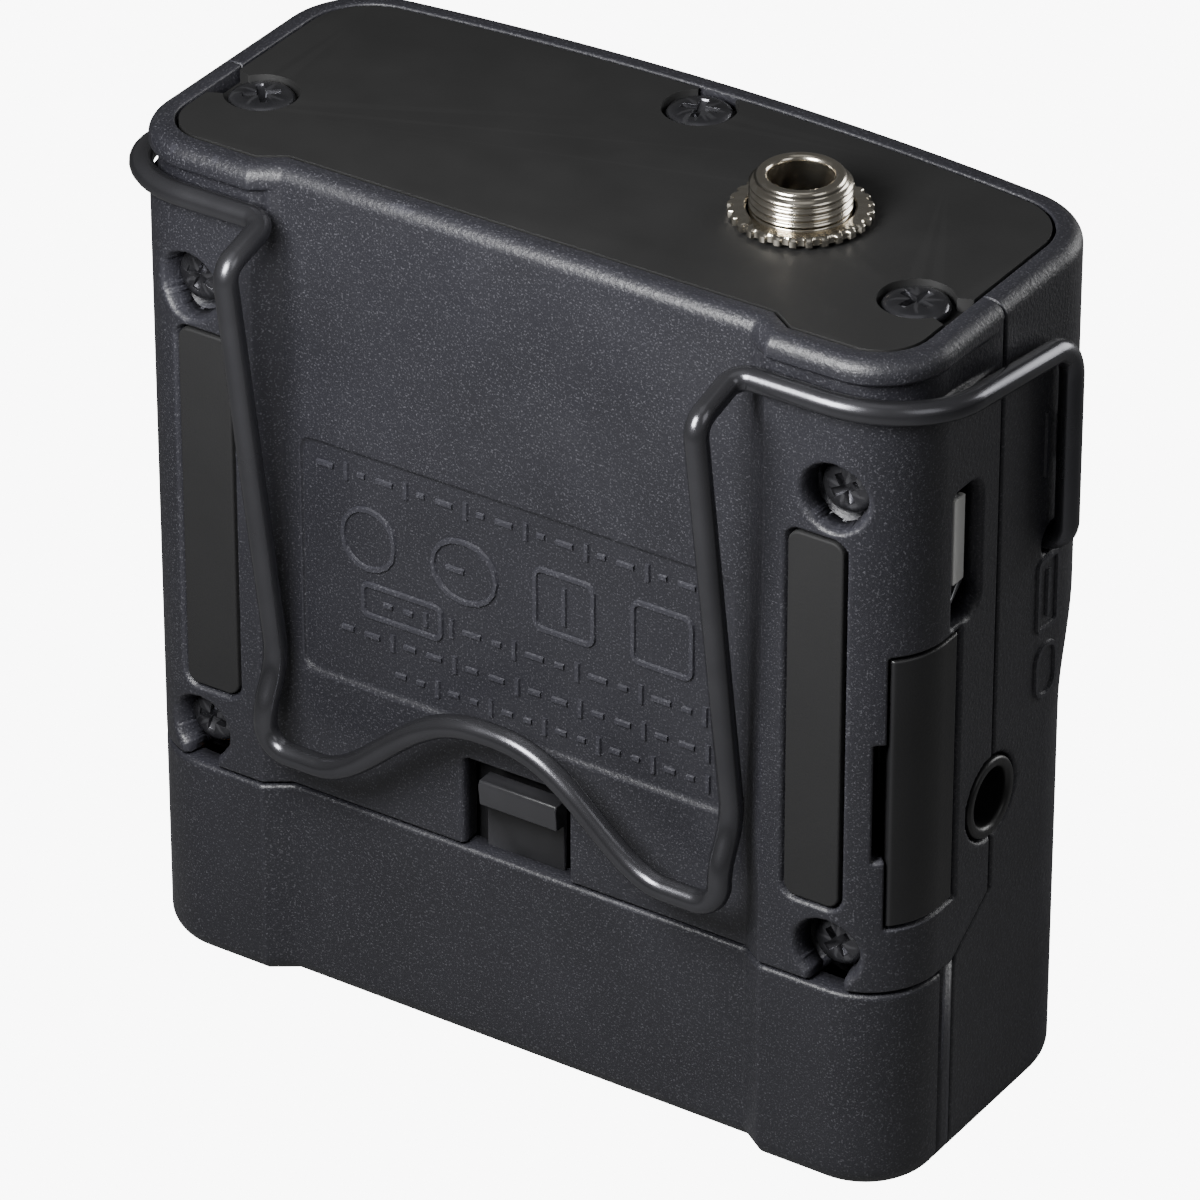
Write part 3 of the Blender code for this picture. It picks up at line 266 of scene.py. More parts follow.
# %% Casing sizes
HALF = FRONT_HIGH[0]
BACK = REAR_HIGH[1]
HEIGHT = REAR_HIGH[2]
WALL = 1.5
BACK_CORNER = 4.5
FRONT_CORNER = 5.5
BOW_RADIUS = 165.0
PILLAR_EDGE = 16.7
PILLAR_STEP = 1.5
RECESS = 1.0
RIM_ROUND = 0.9
RIM_INNER_ROUND = 0.15
BASE_ROUND = 1.5
FRONT_STEP = 1.1
STEP_LOW, STEP_HIGH = 23.5, 31.0
SEAM = 0.2
SEAM_EDGE = 0.18
SPLIT_Y = 1.75
SPLIT_LOW_Y = 5.5
SPLIT_JOG = 15.9
DOOR_TOP = box_mm("battery_door")[1][2]
DOOR_EDGE_Y = 6.75
SIDE_START = BACK - BACK_CORNER
BACK_FLAT, SLOPE, PILLAR, CORNER, SIDE, FRONT_ARC, BOW = range(7)


def seam_line(z):
    """y of the joint between the covers at each height."""
    return np.interp(z, [DOOR_TOP + SEAM, SPLIT_JOG], [SPLIT_LOW_Y, SPLIT_Y])


def front_cut_at(z):
    """How far the front lies back at each height: a soft step."""
    share = np.clip((z - STEP_LOW) / (STEP_HIGH - STEP_LOW), 0, 1)
    return FRONT_STEP * (1 - share * share * (3 - 2 * share))


def plan_points(columns, inset, cut, side_from, side_to):
    """x and y of each grid point.  columns is (sign, segment, share) per column."""
    sign = np.array([c[0] for c in columns])[None, :] + 0 * inset
    segment = np.array([c[1] for c in columns])[None, :] + 0 * inset.astype(int)
    share = np.array([c[2] for c in columns])[None, :] + 0 * inset
    cut = cut[:, None] + 0 * inset
    slope = math.hypot(PILLAR_STEP, RECESS)
    lean = (slope - PILLAR_STEP) / RECESS
    foot = PILLAR_EDGE - PILLAR_STEP + lean * inset
    edge = PILLAR_EDGE + lean * inset
    corner_x = HALF - FRONT_CORNER
    bow_y = -(BACK - cut) + BOW_RADIUS
    drop = math.sqrt((BOW_RADIUS - FRONT_CORNER) ** 2 - corner_x ** 2)
    last = math.atan2(-drop, corner_x)
    turn = np.pi / 2 * (1 - share)
    bend = last * share
    sweep = last + (-np.pi / 2 - last) * share
    start, stop = side_from[:, None] + 0 * inset, side_to[:, None] + 0 * inset
    xs = [share * foot, foot + share * (edge - foot),
          edge + share * (HALF - BACK_CORNER - edge),
          HALF - BACK_CORNER + (BACK_CORNER - inset) * np.cos(turn), HALF - inset,
          corner_x + (FRONT_CORNER - inset) * np.cos(bend),
          (BOW_RADIUS - inset) * np.cos(sweep)]
    ys = [BACK - RECESS - inset, BACK - RECESS - inset + share * RECESS, BACK - inset,
          SIDE_START + (BACK_CORNER - inset) * np.sin(turn), start + share * (stop - start),
          bow_y - drop + (FRONT_CORNER - inset) * np.sin(bend),
          bow_y + (BOW_RADIUS - inset) * np.sin(sweep)]
    x = np.select([segment == k for k in range(7)], xs)
    y = np.select([segment == k for k in range(7)], ys)
    return sign * x, y


def front_corner_y(cut):
    """y where the side ends and the front corner starts."""
    corner_x = HALF - FRONT_CORNER
    return (-(BACK - cut) + BOW_RADIUS
            - math.sqrt((BOW_RADIUS - FRONT_CORNER) ** 2 - corner_x ** 2))


def spaced(start, end, pitch):
    """Evenly spaced values from start up to, not with, end."""
    count = max(1, int(round(abs(end - start) / pitch)))
    return list(np.linspace(start, end, count + 1)[:-1])


EDGE_STEPS = [0.0, 0.02, 0.05, 0.09, 0.14, 0.2]


def heights(breaks, close_low=True):
    """Row heights from (end, pitch) pairs, with extra rows at a rounded lower edge."""
    rows = [breaks[0] + e for e in EDGE_STEPS] if close_low else [breaks[0]]
    for end, pitch in breaks[1]:
        rows = rows[:-1] + spaced(rows[-1], end, pitch) + [end]
    return np.array(rows)


def rounded_drop(distance, radius):
    """Depth of a rounded edge at each distance from it."""
    near = np.clip(radius - distance, 0, radius)
    return radius - np.sqrt(np.maximum(radius * radius - near * near, 0))


def round_over(depth, *edges):
    """The greater of a depth and of the rounded edges, each a (distance, radius) pair."""
    for distance, radius in edges:
        depth = np.maximum(depth, rounded_drop(distance, radius))
    return depth


def only(where, distance):
    """The distance in one region, and no hole elsewhere."""
    return np.where(where, distance, NO_HOLE)


def level_side(start, end):
    """Side ends that are the same at every height."""
    return lambda z: (start + 0 * z, end + 0 * z)


def pocket(distance, depth, radius, wall=0.12):
    """Depth of a pocket with a rounded lip.  distance is negative inside it."""
    inside = radius + np.clip(-distance / wall, 0, 1) * (depth - radius)
    return np.where(distance > 0, rounded_drop(distance, radius), inside)


def box_distance(u, v, half_u, half_v, radius=0.0):
    """Signed distance to a rectangle with round corners."""
    qu = np.abs(u) - half_u + radius
    qv = np.abs(v) - half_v + radius
    outside = np.hypot(np.maximum(qu, 0), np.maximum(qv, 0))
    return outside + np.minimum(np.maximum(qu, qv), 0) - radius


def snap(u, v, distance, mask):
    """Moves grid points that lie by an edge onto it, so that the edge runs true."""
    for _ in range(3):
        d = distance(u, v)
        step = 0.01
        du = (distance(u + step, v) - d) / step
        dv = (distance(u, v + step) - d) / step
        size = np.maximum(du * du + dv * dv, 0.2)
        u = np.where(mask, u - d * du / size, u)
        v = np.where(mask, v - d * dv / size, v)
    return u, v


# %% [markdown]
# A skin keeps its outer grid, the same grid again one wall further in, and strips that
# close the two along every border and round every hole.  That makes a closed solid of
# plastic, so a door that opens shows a real thickness.

# %% The skin maker


def skin(name, columns, z, side, press, snaps=(), thickness=WALL, rim=(), closing=(),
         fillet=None):
    """Builds a closed shell round the plan.  side(z) gives the side's first and last y.
    press(x, y, z) gives the depth at each point, and the distance to the nearest hole,
    negative inside.  snaps are (axis, test, distance) for edges that must run true.
    rim is a list of (inset, z) over the top edge; closing is the floor's last edge."""
    inset = (fillet(z) if fillet else 0 * z)[:, None] + np.zeros((1, len(columns)))
    cut = front_cut_at(z)
    ends = side(z)
    x, y = plan_points(columns, inset, cut, *ends)
    height = np.repeat(z[:, None], len(columns), axis=1)
    flat_x, flat_y = x, y
    for axis, test, distance in snaps:
        along = x if axis == "x" else y
        near = test(x, y, height) & (np.abs(distance(along, height)) < SNAP_REACH)
        along, height = snap(along, height, distance, near)
        x, y = (along, y) if axis == "x" else (x, along)
    move_x, move_y = x - flat_x, y - flat_y
    depth, hole = press(x, y, height)
    solid = (hole[:-1, :-1] + hole[1:, :-1] + hole[:-1, 1:] + hole[1:, 1:]) > 1e-6
    x, y = plan_points(columns, inset + depth, cut, *ends)
    outer = np.stack([x + move_x, y + move_y, height], axis=2)
    x, y = plan_points(columns, np.maximum(inset + depth + INNER_SKIN, thickness), cut, *ends)
    under = np.maximum(height, thickness) if len(closing) else height
    inner = np.stack([x + move_x, y + move_y, under], axis=2)
    rings = []
    for ring_inset, ring_z in rim:
        x, y = plan_points(columns, np.full((1, len(columns)), ring_inset), cut[-1:],
                           ends[0][-1:], ends[1][-1:])
        rings.append(np.stack([x[0], y[0], np.full(len(columns), ring_z)], axis=1))
    return sew(name, outer, inner, solid, rings, closing)


def sew(name, outer, inner, solid, rings, closing):
    """Joins the outer and inner grids into one closed mesh."""
    rows, cols = outer.shape[:2]
    points = [outer.reshape(-1, 3), inner.reshape(-1, 3)]
    ids = np.arange(2 * rows * cols).reshape(2, rows, cols)
    faces = []
    for i, j in zip(*np.nonzero(solid)):
        for layer in ids:
            faces.append((layer[i, j], layer[i, j + 1], layer[i + 1, j + 1], layer[i + 1, j]))
    padded = np.zeros((rows + 1, cols + 1), bool)
    padded[1:-1, 1:-1] = solid
    for i, j in zip(*np.nonzero(padded[:-1, 1:-1] != padded[1:, 1:-1])):
        if not ((rings and i == rows - 1) or (len(closing) and i == 0)):
            faces.append((ids[0, i, j], ids[0, i, j + 1], ids[1, i, j + 1], ids[1, i, j]))
    for i, j in zip(*np.nonzero(padded[1:-1, :-1] != padded[1:-1, 1:])):
        faces.append((ids[0, i, j], ids[0, i + 1, j], ids[1, i + 1, j], ids[1, i, j]))
    total = 2 * rows * cols
    if rings:
        loops = [list(ids[0, -1])]
        for ring in rings:
            points.append(ring)
            loops.append(list(range(total, total + cols)))
            total += cols
        loops.append(list(ids[1, -1]))
        for low, high in zip(loops, loops[1:]):
            faces += [(low[j], low[j + 1], high[j + 1], high[j]) for j in range(cols - 1)]
        faces.append(tuple(loop[0] for loop in loops))
        faces.append(tuple(loop[-1] for loop in loops))
    if len(closing):
        paths = []
        for layer, grid in ((0, outer), (1, inner)):
            points.append(np.array([(x, y, grid[0, 0, 2]) for x, y in closing]))
            path = list(range(total, total + len(closing)))
            total += len(closing)
            faces.append(tuple(list(ids[layer, 0]) + path))
            paths.append([ids[layer, 0, -1]] + path + [ids[layer, 0, 0]])
        for k in range(len(closing) + 1):
            faces.append((paths[0][k], paths[0][k + 1], paths[1][k + 1], paths[1][k]))
    faces = [tuple(int(v) for v in face) for face in faces]
    made = mesh_object(name, np.concatenate(points), faces)
    print(name, len(made.data.vertices), "points")
    return made


SNAP_REACH = 0.075
INNER_SKIN = 0.35
FINE, MEDIUM, COARSE = 0.12, 0.3, 0.8
NO_HOLE = 9.0


def run(sign, segment, start, end, pitch, low, high):
    """Columns of one segment from start to end, as shares of low to high."""
    return [(sign, segment, (v - low) / (high - low)) for v in spaced(start, end, pitch)]


def half_back(sign, end_y, pitches):
    """Columns from the middle of the back round one corner to the side's end."""
    label, slope, pillar, corner, side_pitch = pitches
    foot = PILLAR_EDGE - PILLAR_STEP
    columns = []
    for start, end, pitch in ((0, 3.2, 0.4), (3.2, 3.8, FINE), (3.8, 13.9, label),
                              (13.9, 14.5, FINE / 2), (14.5, foot, FINE)):
        columns += run(sign, BACK_FLAT, start, end, pitch, 0, foot)
    columns += run(sign, SLOPE, 0, 1, slope, 0, 1)
    columns += run(sign, PILLAR, PILLAR_EDGE, HALF - BACK_CORNER, pillar,
                   PILLAR_EDGE, HALF - BACK_CORNER)
    columns += run(sign, CORNER, 0, 1, corner / (BACK_CORNER * math.pi / 2), 0, 1)
    near = end_y + EDGE_STEPS[-1]
    columns += run(sign, SIDE, SIDE_START, near, side_pitch, SIDE_START, end_y)
    columns += [(sign, SIDE, (SIDE_START - end_y - e) / (SIDE_START - end_y))
                for e in reversed(EDGE_STEPS)]
    return columns


def round_back(end_y, pitches_left, pitches_right):
    """Columns of a piece that wraps the back, from the +X side to the -X side."""
    left = half_back(1, end_y, pitches_left)
    right = half_back(-1, end_y, pitches_right)
    return left[:0:-1] + right


def fillet_inset(z):
    """Inset of the rounded bottom edge."""
    low = np.clip(BASE_ROUND - z, 0, BASE_ROUND)
    return BASE_ROUND - np.sqrt(BASE_ROUND ** 2 - low ** 2)


def arc_rows(start_z, radius, count):
    """Heights round a quarter turn at the bottom edge."""
    return [start_z + radius * (1 - math.cos(math.radians(90 * k / count)))
            for k in range(count)]


def rim_rings():
    """The top edge: rounded outside, flat, a small round inside, then down to the plate."""
    rings = []
    for k in range(1, 11):
        angle = math.radians(9 * k)
        rings.append((RIM_ROUND * (1 - math.cos(angle)),
                      HEIGHT - RIM_ROUND * (1 - math.sin(angle))))
    for k in range(5):
        angle = math.radians(22.5 * k)
        rings.append((WALL - RIM_INNER_ROUND * (1 - math.sin(angle)),
                      HEIGHT - RIM_INNER_ROUND * (1 - math.cos(angle))))
    return rings


WALL_TOP = HEIGHT - RIM_ROUND

# %% [markdown]
# ## Rear cover
# The back has two raised pillars with rubber pads, four screw wells, a shallow field in the
# middle, a groove for the wire under the rim, and the openings on the socket side.

# %% Rear cover sizes
WELLS = [middle(f"rear_screw_{k}")[0] for k in (1, 2, 3, 4)]
WELL_X = abs(WELLS[0][0])
WELL_Z = sorted({round(float(spot[2]), 2) for spot in WELLS})
WELL_R = 2.0
WELL_DEPTH = 2.6
WELL_NOTCH = 1.1
PAD_MID, PAD_HALF = middle("rubber_pad_left")
PAD_DEPTH, PAD_CORNER = 0.9, 0.9
LABEL_X, LABEL_Z = 14.2, (21.4, 36.5)
LABEL_DEPTH, LABEL_CORNER = 0.2, 0.8
WINDOW_X, WINDOW_TOP = 3.5, 19.0
GROOVE_Z, GROOVE_HALF, GROOVE_DEPTH, GROOVE_END = 50.5, 0.95, 0.5, 16.0
GROOVE_FADE = 5.0
USB_Y, USB_Z = 5.1, 39.2
USB_HALF = (1.45, 4.2)
USB_CORNERS = (0.3, 1.25)
PHONES_Y, PHONES_Z, PHONES_HOLE = 1.9, 21.95, 2.6
COVER_Z = (17.4, 34.8)
COVER_FROM_Y, COVER_TO_X = 5.4, 24.0
NAIL_Z, NAIL_X = (21.8, 29.3), 23.4
print("wells at", WELL_X, WELL_Z)

# %% [markdown]
# Each hole and pocket is a signed distance, negative inside it.  The depth that is pressed
# into the skin and the cells that are left out both come from these distances.

# %% Rear cover


def back_of(x, y, z):
    """The back between the corners."""
    return y > BACK - RECESS - 0.3


def side_of(x, y, z):
    """The flat side with the sockets."""
    return (x < -HALF + 0.3) & (y < SIDE_START)


def well_distance(x, z):
    """Distance to the nearest well; the lower wells run out through the bottom edge."""
    across = np.abs(x) - WELL_X
    ring = np.minimum(np.hypot(across, z - WELL_Z[0]), np.hypot(across, z - WELL_Z[1]))
    notch = box_distance(across, z - WELL_Z[0] + 2, WELL_NOTCH, 2.0)
    return np.minimum(ring - WELL_R, notch)


def window_distance(x, z):
    """Distance to the latch's window."""
    return box_distance(x, z - DOOR_TOP, WINDOW_X, WINDOW_TOP - DOOR_TOP, 0.3)


def usb_distance(y, z):
    """The opening has small corners towards the back and large ones towards the front."""
    return box_distance(y - USB_Y, z - USB_Z, *USB_HALF, np.where(y > USB_Y, *USB_CORNERS))


def phones_distance(y, z):
    """Distance to the headphone socket's hole, which the joint runs through."""
    return np.hypot(y - PHONES_Y, z - PHONES_Z) - PHONES_HOLE


def cover_distance(x, y, z):
    """Distance to the card cover's opening with the nail slot beside it."""
    found = []
    for (low, high), to_x in ((COVER_Z, COVER_TO_X), (NAIL_Z, NAIL_X)):
        strip = np.abs(z - (low + high) / 2) - (high - low) / 2
        found.append(np.maximum(strip, np.maximum(COVER_FROM_Y - y, to_x + x)))
    return only(x < 0, np.minimum(*found))


def press_rear(x, y, z):
    """Depths and holes of the rear cover."""
    back, side = back_of(x, y, z), side_of(x, y, z)
    pads = only(back, box_distance(np.abs(x) - PAD_MID[0], z - PAD_MID[2],
                                   PAD_HALF[0] + SEAM, PAD_HALF[2] + SEAM, PAD_CORNER))
    label = only(back, box_distance(x, z - sum(LABEL_Z) / 2, LABEL_X,
                                    (LABEL_Z[1] - LABEL_Z[0]) / 2, LABEL_CORNER))
    groove = np.maximum(np.abs(z - GROOVE_Z) - GROOVE_HALF, (GROOVE_END - np.abs(x)) * 0.5)
    fade = np.clip((y - SPLIT_Y) / GROOVE_FADE, 0, 1)
    wells, window = only(back, well_distance(x, z)), only(back, window_distance(x, z))
    usb, phones = only(side, usb_distance(y, z)), only(side, phones_distance(y, z))
    cover = cover_distance(x, y, z)
    seam = only(y < SIDE_START, y - (seam_line(z) + SEAM / 2))
    foot = only(y > DOOR_EDGE_Y - SEAM, z - DOOR_TOP - SEAM)
    depth = np.maximum(pocket(pads, PAD_DEPTH, 0.16), pocket(label, LABEL_DEPTH, 0.08))
    depth = np.maximum(depth, pocket(groove, GROOVE_DEPTH, 0.35) * fade * fade * (3 - 2 * fade))
    depth = round_over(depth, (wells, 0.3), (window, 0.3), (usb, 0.25), (phones, 0.15),
                       (cover, 0.12), (seam, SEAM_EDGE), (foot, SEAM_EDGE))
    return depth, np.minimum.reduce([window, usb, phones, cover, wells])


rear_rows = heights((DOOR_TOP + SEAM, [
    (17.0, FINE), (17.8, FINE), (18.7, FINE), (19.2, FINE), (24.8, 0.16), (29.0, COARSE),
    (29.6, FINE), (34.4, COARSE), (35.2, FINE), (36.2, 0.2), (36.8, FINE), (41.4, 0.25),
    (46.6, FINE), (49.2, MEDIUM), (51.8, 0.07), (WALL_TOP, FINE)]))
rear_columns = round_back(SPLIT_Y + SEAM / 2, (0.5, 0.1, FINE, 0.14, 0.35),
                          (0.5, 0.1, FINE, 0.14, 0.14))
rear = skin("rear_cover_moulding", rear_columns, rear_rows,
            lambda z: (SIDE_START + 0 * z, seam_line(z) + SEAM / 2), press_rear,
            snaps=(("x", back_of, well_distance), ("x", back_of, window_distance),
                   ("y", side_of, usb_distance), ("y", side_of, phones_distance)),
            rim=rim_rings())

# %% [markdown]
# ### Screw wells
# A well is a hole in the skin with a turned cup behind it.  The lower cups have a notch, where
# the well runs out through the bottom edge.

# %% Cups behind the screw wells
CUP_WALL = 0.7
cup_floor = BACK - WELL_DEPTH
cup_profile = [(0, cup_floor - CUP_WALL), (WELL_R + CUP_WALL, cup_floor - CUP_WALL),
               (WELL_R + CUP_WALL, BACK - WALL + 0.2), (WELL_R, BACK - WALL + 0.2),
               (WELL_R, cup_floor), (0, cup_floor)]
cups = []
for k, (sign, z) in enumerate(((s, z) for s in (-1, 1) for z in WELL_Z), 1):
    place = (Matrix.Translation(Vector((sign * WELL_X, 0, z)))
             @ Matrix.Rotation(math.radians(-90), 4, "X"))
    cup = lathe(f"well_cup_{k}", cup_profile, 64, place=place)
    if z == WELL_Z[0]:
        carve(cup, cuboid("notch", (sign * WELL_X - WELL_NOTCH, cup_floor, z - 4),
                          (sign * WELL_X + WELL_NOTCH, BACK, z - 1)))
    cups.append(cup)

# %% [markdown]
# ## Front cover
# The front is bowed, and its lower half lies a little further back.  It carries the
# display, four keys and two slide switches, and the holes that the wire clip hooks into.

# %% Front cover
KEYS = ("menu_key", "down_key", "up_key", "enter_key")
KEY_HALF, KEY_GAP = (3.0, 1.7), 0.25
SWITCHES = {"record_switch": 3.0, "power_switch": 2.5}
GAP = 0.3
STEM = 1.6
DISPLAY_CORNER, KEY_CORNER, SLOT_CORNER = 1.0, 0.9, 0.8
PIPE_GAP = 0.1
ANCHOR_Y, ANCHOR_Z = -3.95, 35.6
ANCHOR_HOLE = 1.0


def front_of(x, y, z):
    """The bowed front."""
    return y < -8.0


def display_distance(x, z):
    """Distance to the display's opening."""
    mid, half = middle("display_window")
    return box_distance(x - mid[0], z - mid[2], half[0] + GAP / 2, half[2] + GAP / 2,
                        DISPLAY_CORNER)


def keys_distance(x, z):
    """Distance to the nearest key's opening."""
    found = np.full(np.shape(x), NO_HOLE)
    for key in KEYS:
        mid = middle(key)[0]
        found = np.minimum(found, box_distance(
            x - mid[0], z - mid[2], KEY_HALF[0] + KEY_GAP, KEY_HALF[1] + KEY_GAP,
            KEY_CORNER))
    return found


def switch_distance(x, z):
    """Distance to the nearest switch's slot or the light pipe's hole."""
    mid, half = middle("light_pipe")
    found = np.hypot(x - mid[0], z - mid[2]) - half[0] - PIPE_GAP
    for node, travel in SWITCHES.items():
        mid = middle(node)[0]
        found = np.minimum(found, box_distance(
            x - mid[0] - travel / 2, z - mid[2], (STEM + travel) / 2 + GAP,
            STEM / 2 + GAP, SLOT_CORNER))
    return found


def anchor_distance(y, z):
    """Distance to the hole that the wire hooks into."""
    return np.hypot(y - ANCHOR_Y, z - ANCHOR_Z) - ANCHOR_HOLE


def flank_of(x, y, z):
    """Both flat sides."""
    return (np.abs(x) > HALF - 0.3) & (y < SIDE_START)


def press_front(x, y, z):
    """Depths and holes of the front cover."""
    front, flank = front_of(x, y, z), flank_of(x, y, z)
    screen, keys = only(front, display_distance(x, z)), only(front, keys_distance(x, z))
    slots, anchors = only(front, switch_distance(x, z)), only(flank, anchor_distance(y, z))
    phones = only(side_of(x, y, z), phones_distance(y, z))
    seam = only(y > 0, seam_line(z) - SEAM / 2 - y)
    depth = round_over(0 * z, (screen, 0.3), (keys, 0.2), (slots, 0.2), (anchors, 0.2),
                       (phones, 0.15), (seam, SEAM_EDGE))
    return depth, np.minimum.reduce([screen, keys, slots, anchors, phones])


front_rows = np.array(arc_rows(0.0, BASE_ROUND, 8) + heights((BASE_ROUND, [
    (5.8, 0.6), (10.2, 0.16), (13.4, 0.5), (15.9, 0.3), (16.1, 0.2), (20.4, 0.15),
    (25.2, 0.16), (33.4, 0.4), (34.6, FINE), (36.8, 0.16), (43.8, 0.6), (44.9, FINE),
    (WALL_TOP, 0.6)]), close_low=False).tolist())


def flank_columns(sign):
    """Columns of one side of the front cover, from the joint forwards."""
    end = front_corner_y(0.0)
    span = end - SPLIT_Y
    marks = [SPLIT_Y - e for e in EDGE_STEPS[:-1]] + spaced(SPLIT_Y - 0.2, -1.2, 0.15)
    marks += spaced(-1.2, -2.6, 0.4) + spaced(-2.6, end, FINE)
    return [(sign, SIDE, (v - SPLIT_Y) / span) for v in marks]


def bow_columns(sign):
    """Columns over one half of the bowed front, fine where the keys and display are."""
    marks = spaced(0.0, 0.86, 0.0075)
    marks += spaced(0.86, 1.0, 0.02)
    return [(sign, BOW, 1 - v) for v in marks]


def half_front(sign):
    """Columns from the joint round one front corner to the middle of the front."""
    return (flank_columns(sign) + run(sign, FRONT_ARC, 0, 1, 0.05, 0, 1)
            + bow_columns(sign)[::-1])


front_columns = half_front(-1) + half_front(1)[-2::-1]
front = skin("front_cover_moulding", front_columns, front_rows,
             lambda z: (seam_line(z) - SEAM / 2, front_corner_y(front_cut_at(z))), press_front,
             snaps=(("x", front_of, display_distance), ("x", front_of, keys_distance),
                    ("x", front_of, switch_distance), ("y", flank_of, anchor_distance),
                    ("y", side_of, phones_distance)),
             rim=rim_rings(), closing=[(0.0, SPLIT_LOW_Y - SEAM / 2)], fillet=fillet_inset)

# %% [markdown]
# ## Battery door
# The door wraps the bottom of the back.  It turns on a pin near the bottom edge, so its
# floor has two notches for the lugs that hold the pin.

# %% Battery door
KNUCKLE_X, KNUCKLE_R = 22.0, 0.95
HINGE_Y, HINGE_Z = 7.0, 1.0
LUG_BACK = 8.2
DOOR_LIP = 0.3


def press_door(x, y, z):
    """Rounded top and side edges of the door."""
    side = only(y < SIDE_START, y - DOOR_EDGE_Y)
    return round_over(0 * z, (DOOR_TOP - z, DOOR_LIP), (side, SEAM_EDGE)), 0 * z + NO_HOLE


door_rows = np.array(arc_rows(0.0, BASE_ROUND, 10) + heights((BASE_ROUND, [
    (12.4, 0.6), (12.7, 0.1)]), close_low=False).tolist()[:-1]
    + [DOOR_TOP - 0.32] + [DOOR_TOP - 1.5 * e for e in reversed(EDGE_STEPS)])
door_pitches = (1.2, 0.1, 0.25, 0.2, 0.1)
door_columns = round_back(DOOR_EDGE_Y, door_pitches, door_pitches)
notch = HALF - WALL
door_floor = [(-notch, DOOR_EDGE_Y), (-notch, LUG_BACK), (-KNUCKLE_X, LUG_BACK),
              (-KNUCKLE_X, DOOR_EDGE_Y), (KNUCKLE_X, DOOR_EDGE_Y), (KNUCKLE_X, LUG_BACK),
              (notch, LUG_BACK), (notch, DOOR_EDGE_Y)]
door = skin("battery_door_moulding", door_columns, door_rows,
            level_side(SIDE_START, DOOR_EDGE_Y), press_door, closing=door_floor,
            fillet=fillet_inset)
knuckle = prism("door_knuckle", circle(KNUCKLE_R, (HINGE_Y, HINGE_Z), 32), -KNUCKLE_X,
                KNUCKLE_X, axis="X")
soften(knuckle, 0.12)

# %% [markdown]
# ### Legs and lugs
# A narrow leg of the rear cover comes down beside the door at each side, and two lugs hold
# the pin that the door turns on.

# %% Legs of the rear cover beside the door
LEG_FROM, LEG_TO = DOOR_EDGE_Y - SEAM, SPLIT_LOW_Y + SEAM / 2
LUG_X, LUG_END_Y, LUG_Z = (22.5, 23.7), 7.9, (0.25, 2.2)


def press_leg(x, y, z):
    """The legs are plain."""
    return 0 * z, 0 * z + NO_HOLE


legs = []
leg_rows = np.array(arc_rows(0.0, BASE_ROUND, 10) + [BASE_ROUND, 6.0, DOOR_TOP + SEAM])
for word, sign in (("left", 1), ("right", -1)):
    columns = [(sign, SIDE, k / 3) for k in range(4)]
    legs.append(skin(f"cover_leg_{word}", columns, leg_rows, level_side(LEG_FROM, LEG_TO),
                     press_leg, fillet=fillet_inset))
    low_x, high_x = sorted((sign * LUG_X[0], sign * LUG_X[1]))
    lug = cuboid(f"hinge_lug_{word}", (low_x, LEG_TO, LUG_Z[0]),
                 (high_x, LUG_END_Y, LUG_Z[1]))
    legs.append(soften(lug, 0.2))

# %% [markdown]
# ## Card cover
# A thin flap wraps the back corner over the card slot.

# %% Card cover
FLAP_LOW, FLAP_HIGH = box_mm("card_cover")
FLAP_THICK = 1.1


def press_flap(x, y, z):
    """All four edges of the flap are rounded."""
    edges = (z - FLAP_LOW[2], FLAP_HIGH[2] - z, only(y < SIDE_START, y - FLAP_LOW[1]),
             (FLAP_HIGH[0] - x) * 1.1)
    return round_over(0 * z, *((edge, SEAM_EDGE) for edge in edges)), 0 * z + NO_HOLE


inner_x = (-FLAP_HIGH[0] - (HALF - BACK_CORNER)) / BACK_CORNER
corner_share = 1 - math.acos(inner_x) / (math.pi / 2)
flap_columns = run(-1, CORNER, corner_share, 1, 0.018, 0, 1)
flap_columns += run(-1, SIDE, SIDE_START, FLAP_LOW[1] + 0.2, 0.12, SIDE_START, FLAP_LOW[1])
flap_columns += [(-1, SIDE, (SIDE_START - FLAP_LOW[1] - e) / (SIDE_START - FLAP_LOW[1]))
                 for e in reversed(EDGE_STEPS)]
flap_rows = np.array([FLAP_LOW[2] + e for e in EDGE_STEPS]
                     + spaced(FLAP_LOW[2] + 0.3, FLAP_HIGH[2] - 0.3, 0.8)
                     + [FLAP_HIGH[2] - e for e in reversed(EDGE_STEPS)])
flap = skin("card_cover_flap", flap_columns, flap_rows, level_side(SIDE_START, FLAP_LOW[1]),
            press_flap, thickness=FLAP_THICK)

# %% [markdown]
# ## Top plate, pads and screws
# The plate is a flat sheet let into the rim.  Each screw sits in a stepped hole that is cut
# out to the plate's edge.

# %% Top plate
PLATE_LOW, PLATE_HIGH = box_mm("top_plate")
PLATE_INSET = WALL + SEAM
PLATE_TOP = PLATE_HIGH[2]
HEAD_H, REAR_HEAD_H = 0.7, 1.0
SINK_R = 2.15
SINK_FLOOR = PLATE_TOP - HEAD_H - 0.1
ABOVE = HEIGHT + 1
JACK_HOLE_R = 3.15
WEDGE_REACH, WEDGE_NEAR, WEDGE_FAR = 3.6, 0.9, 2.0
SCREWS = [middle(f"top_screw_{k}")[0] for k in (1, 2, 3)]
JACK = middle("mic_jack_barrel")[0]


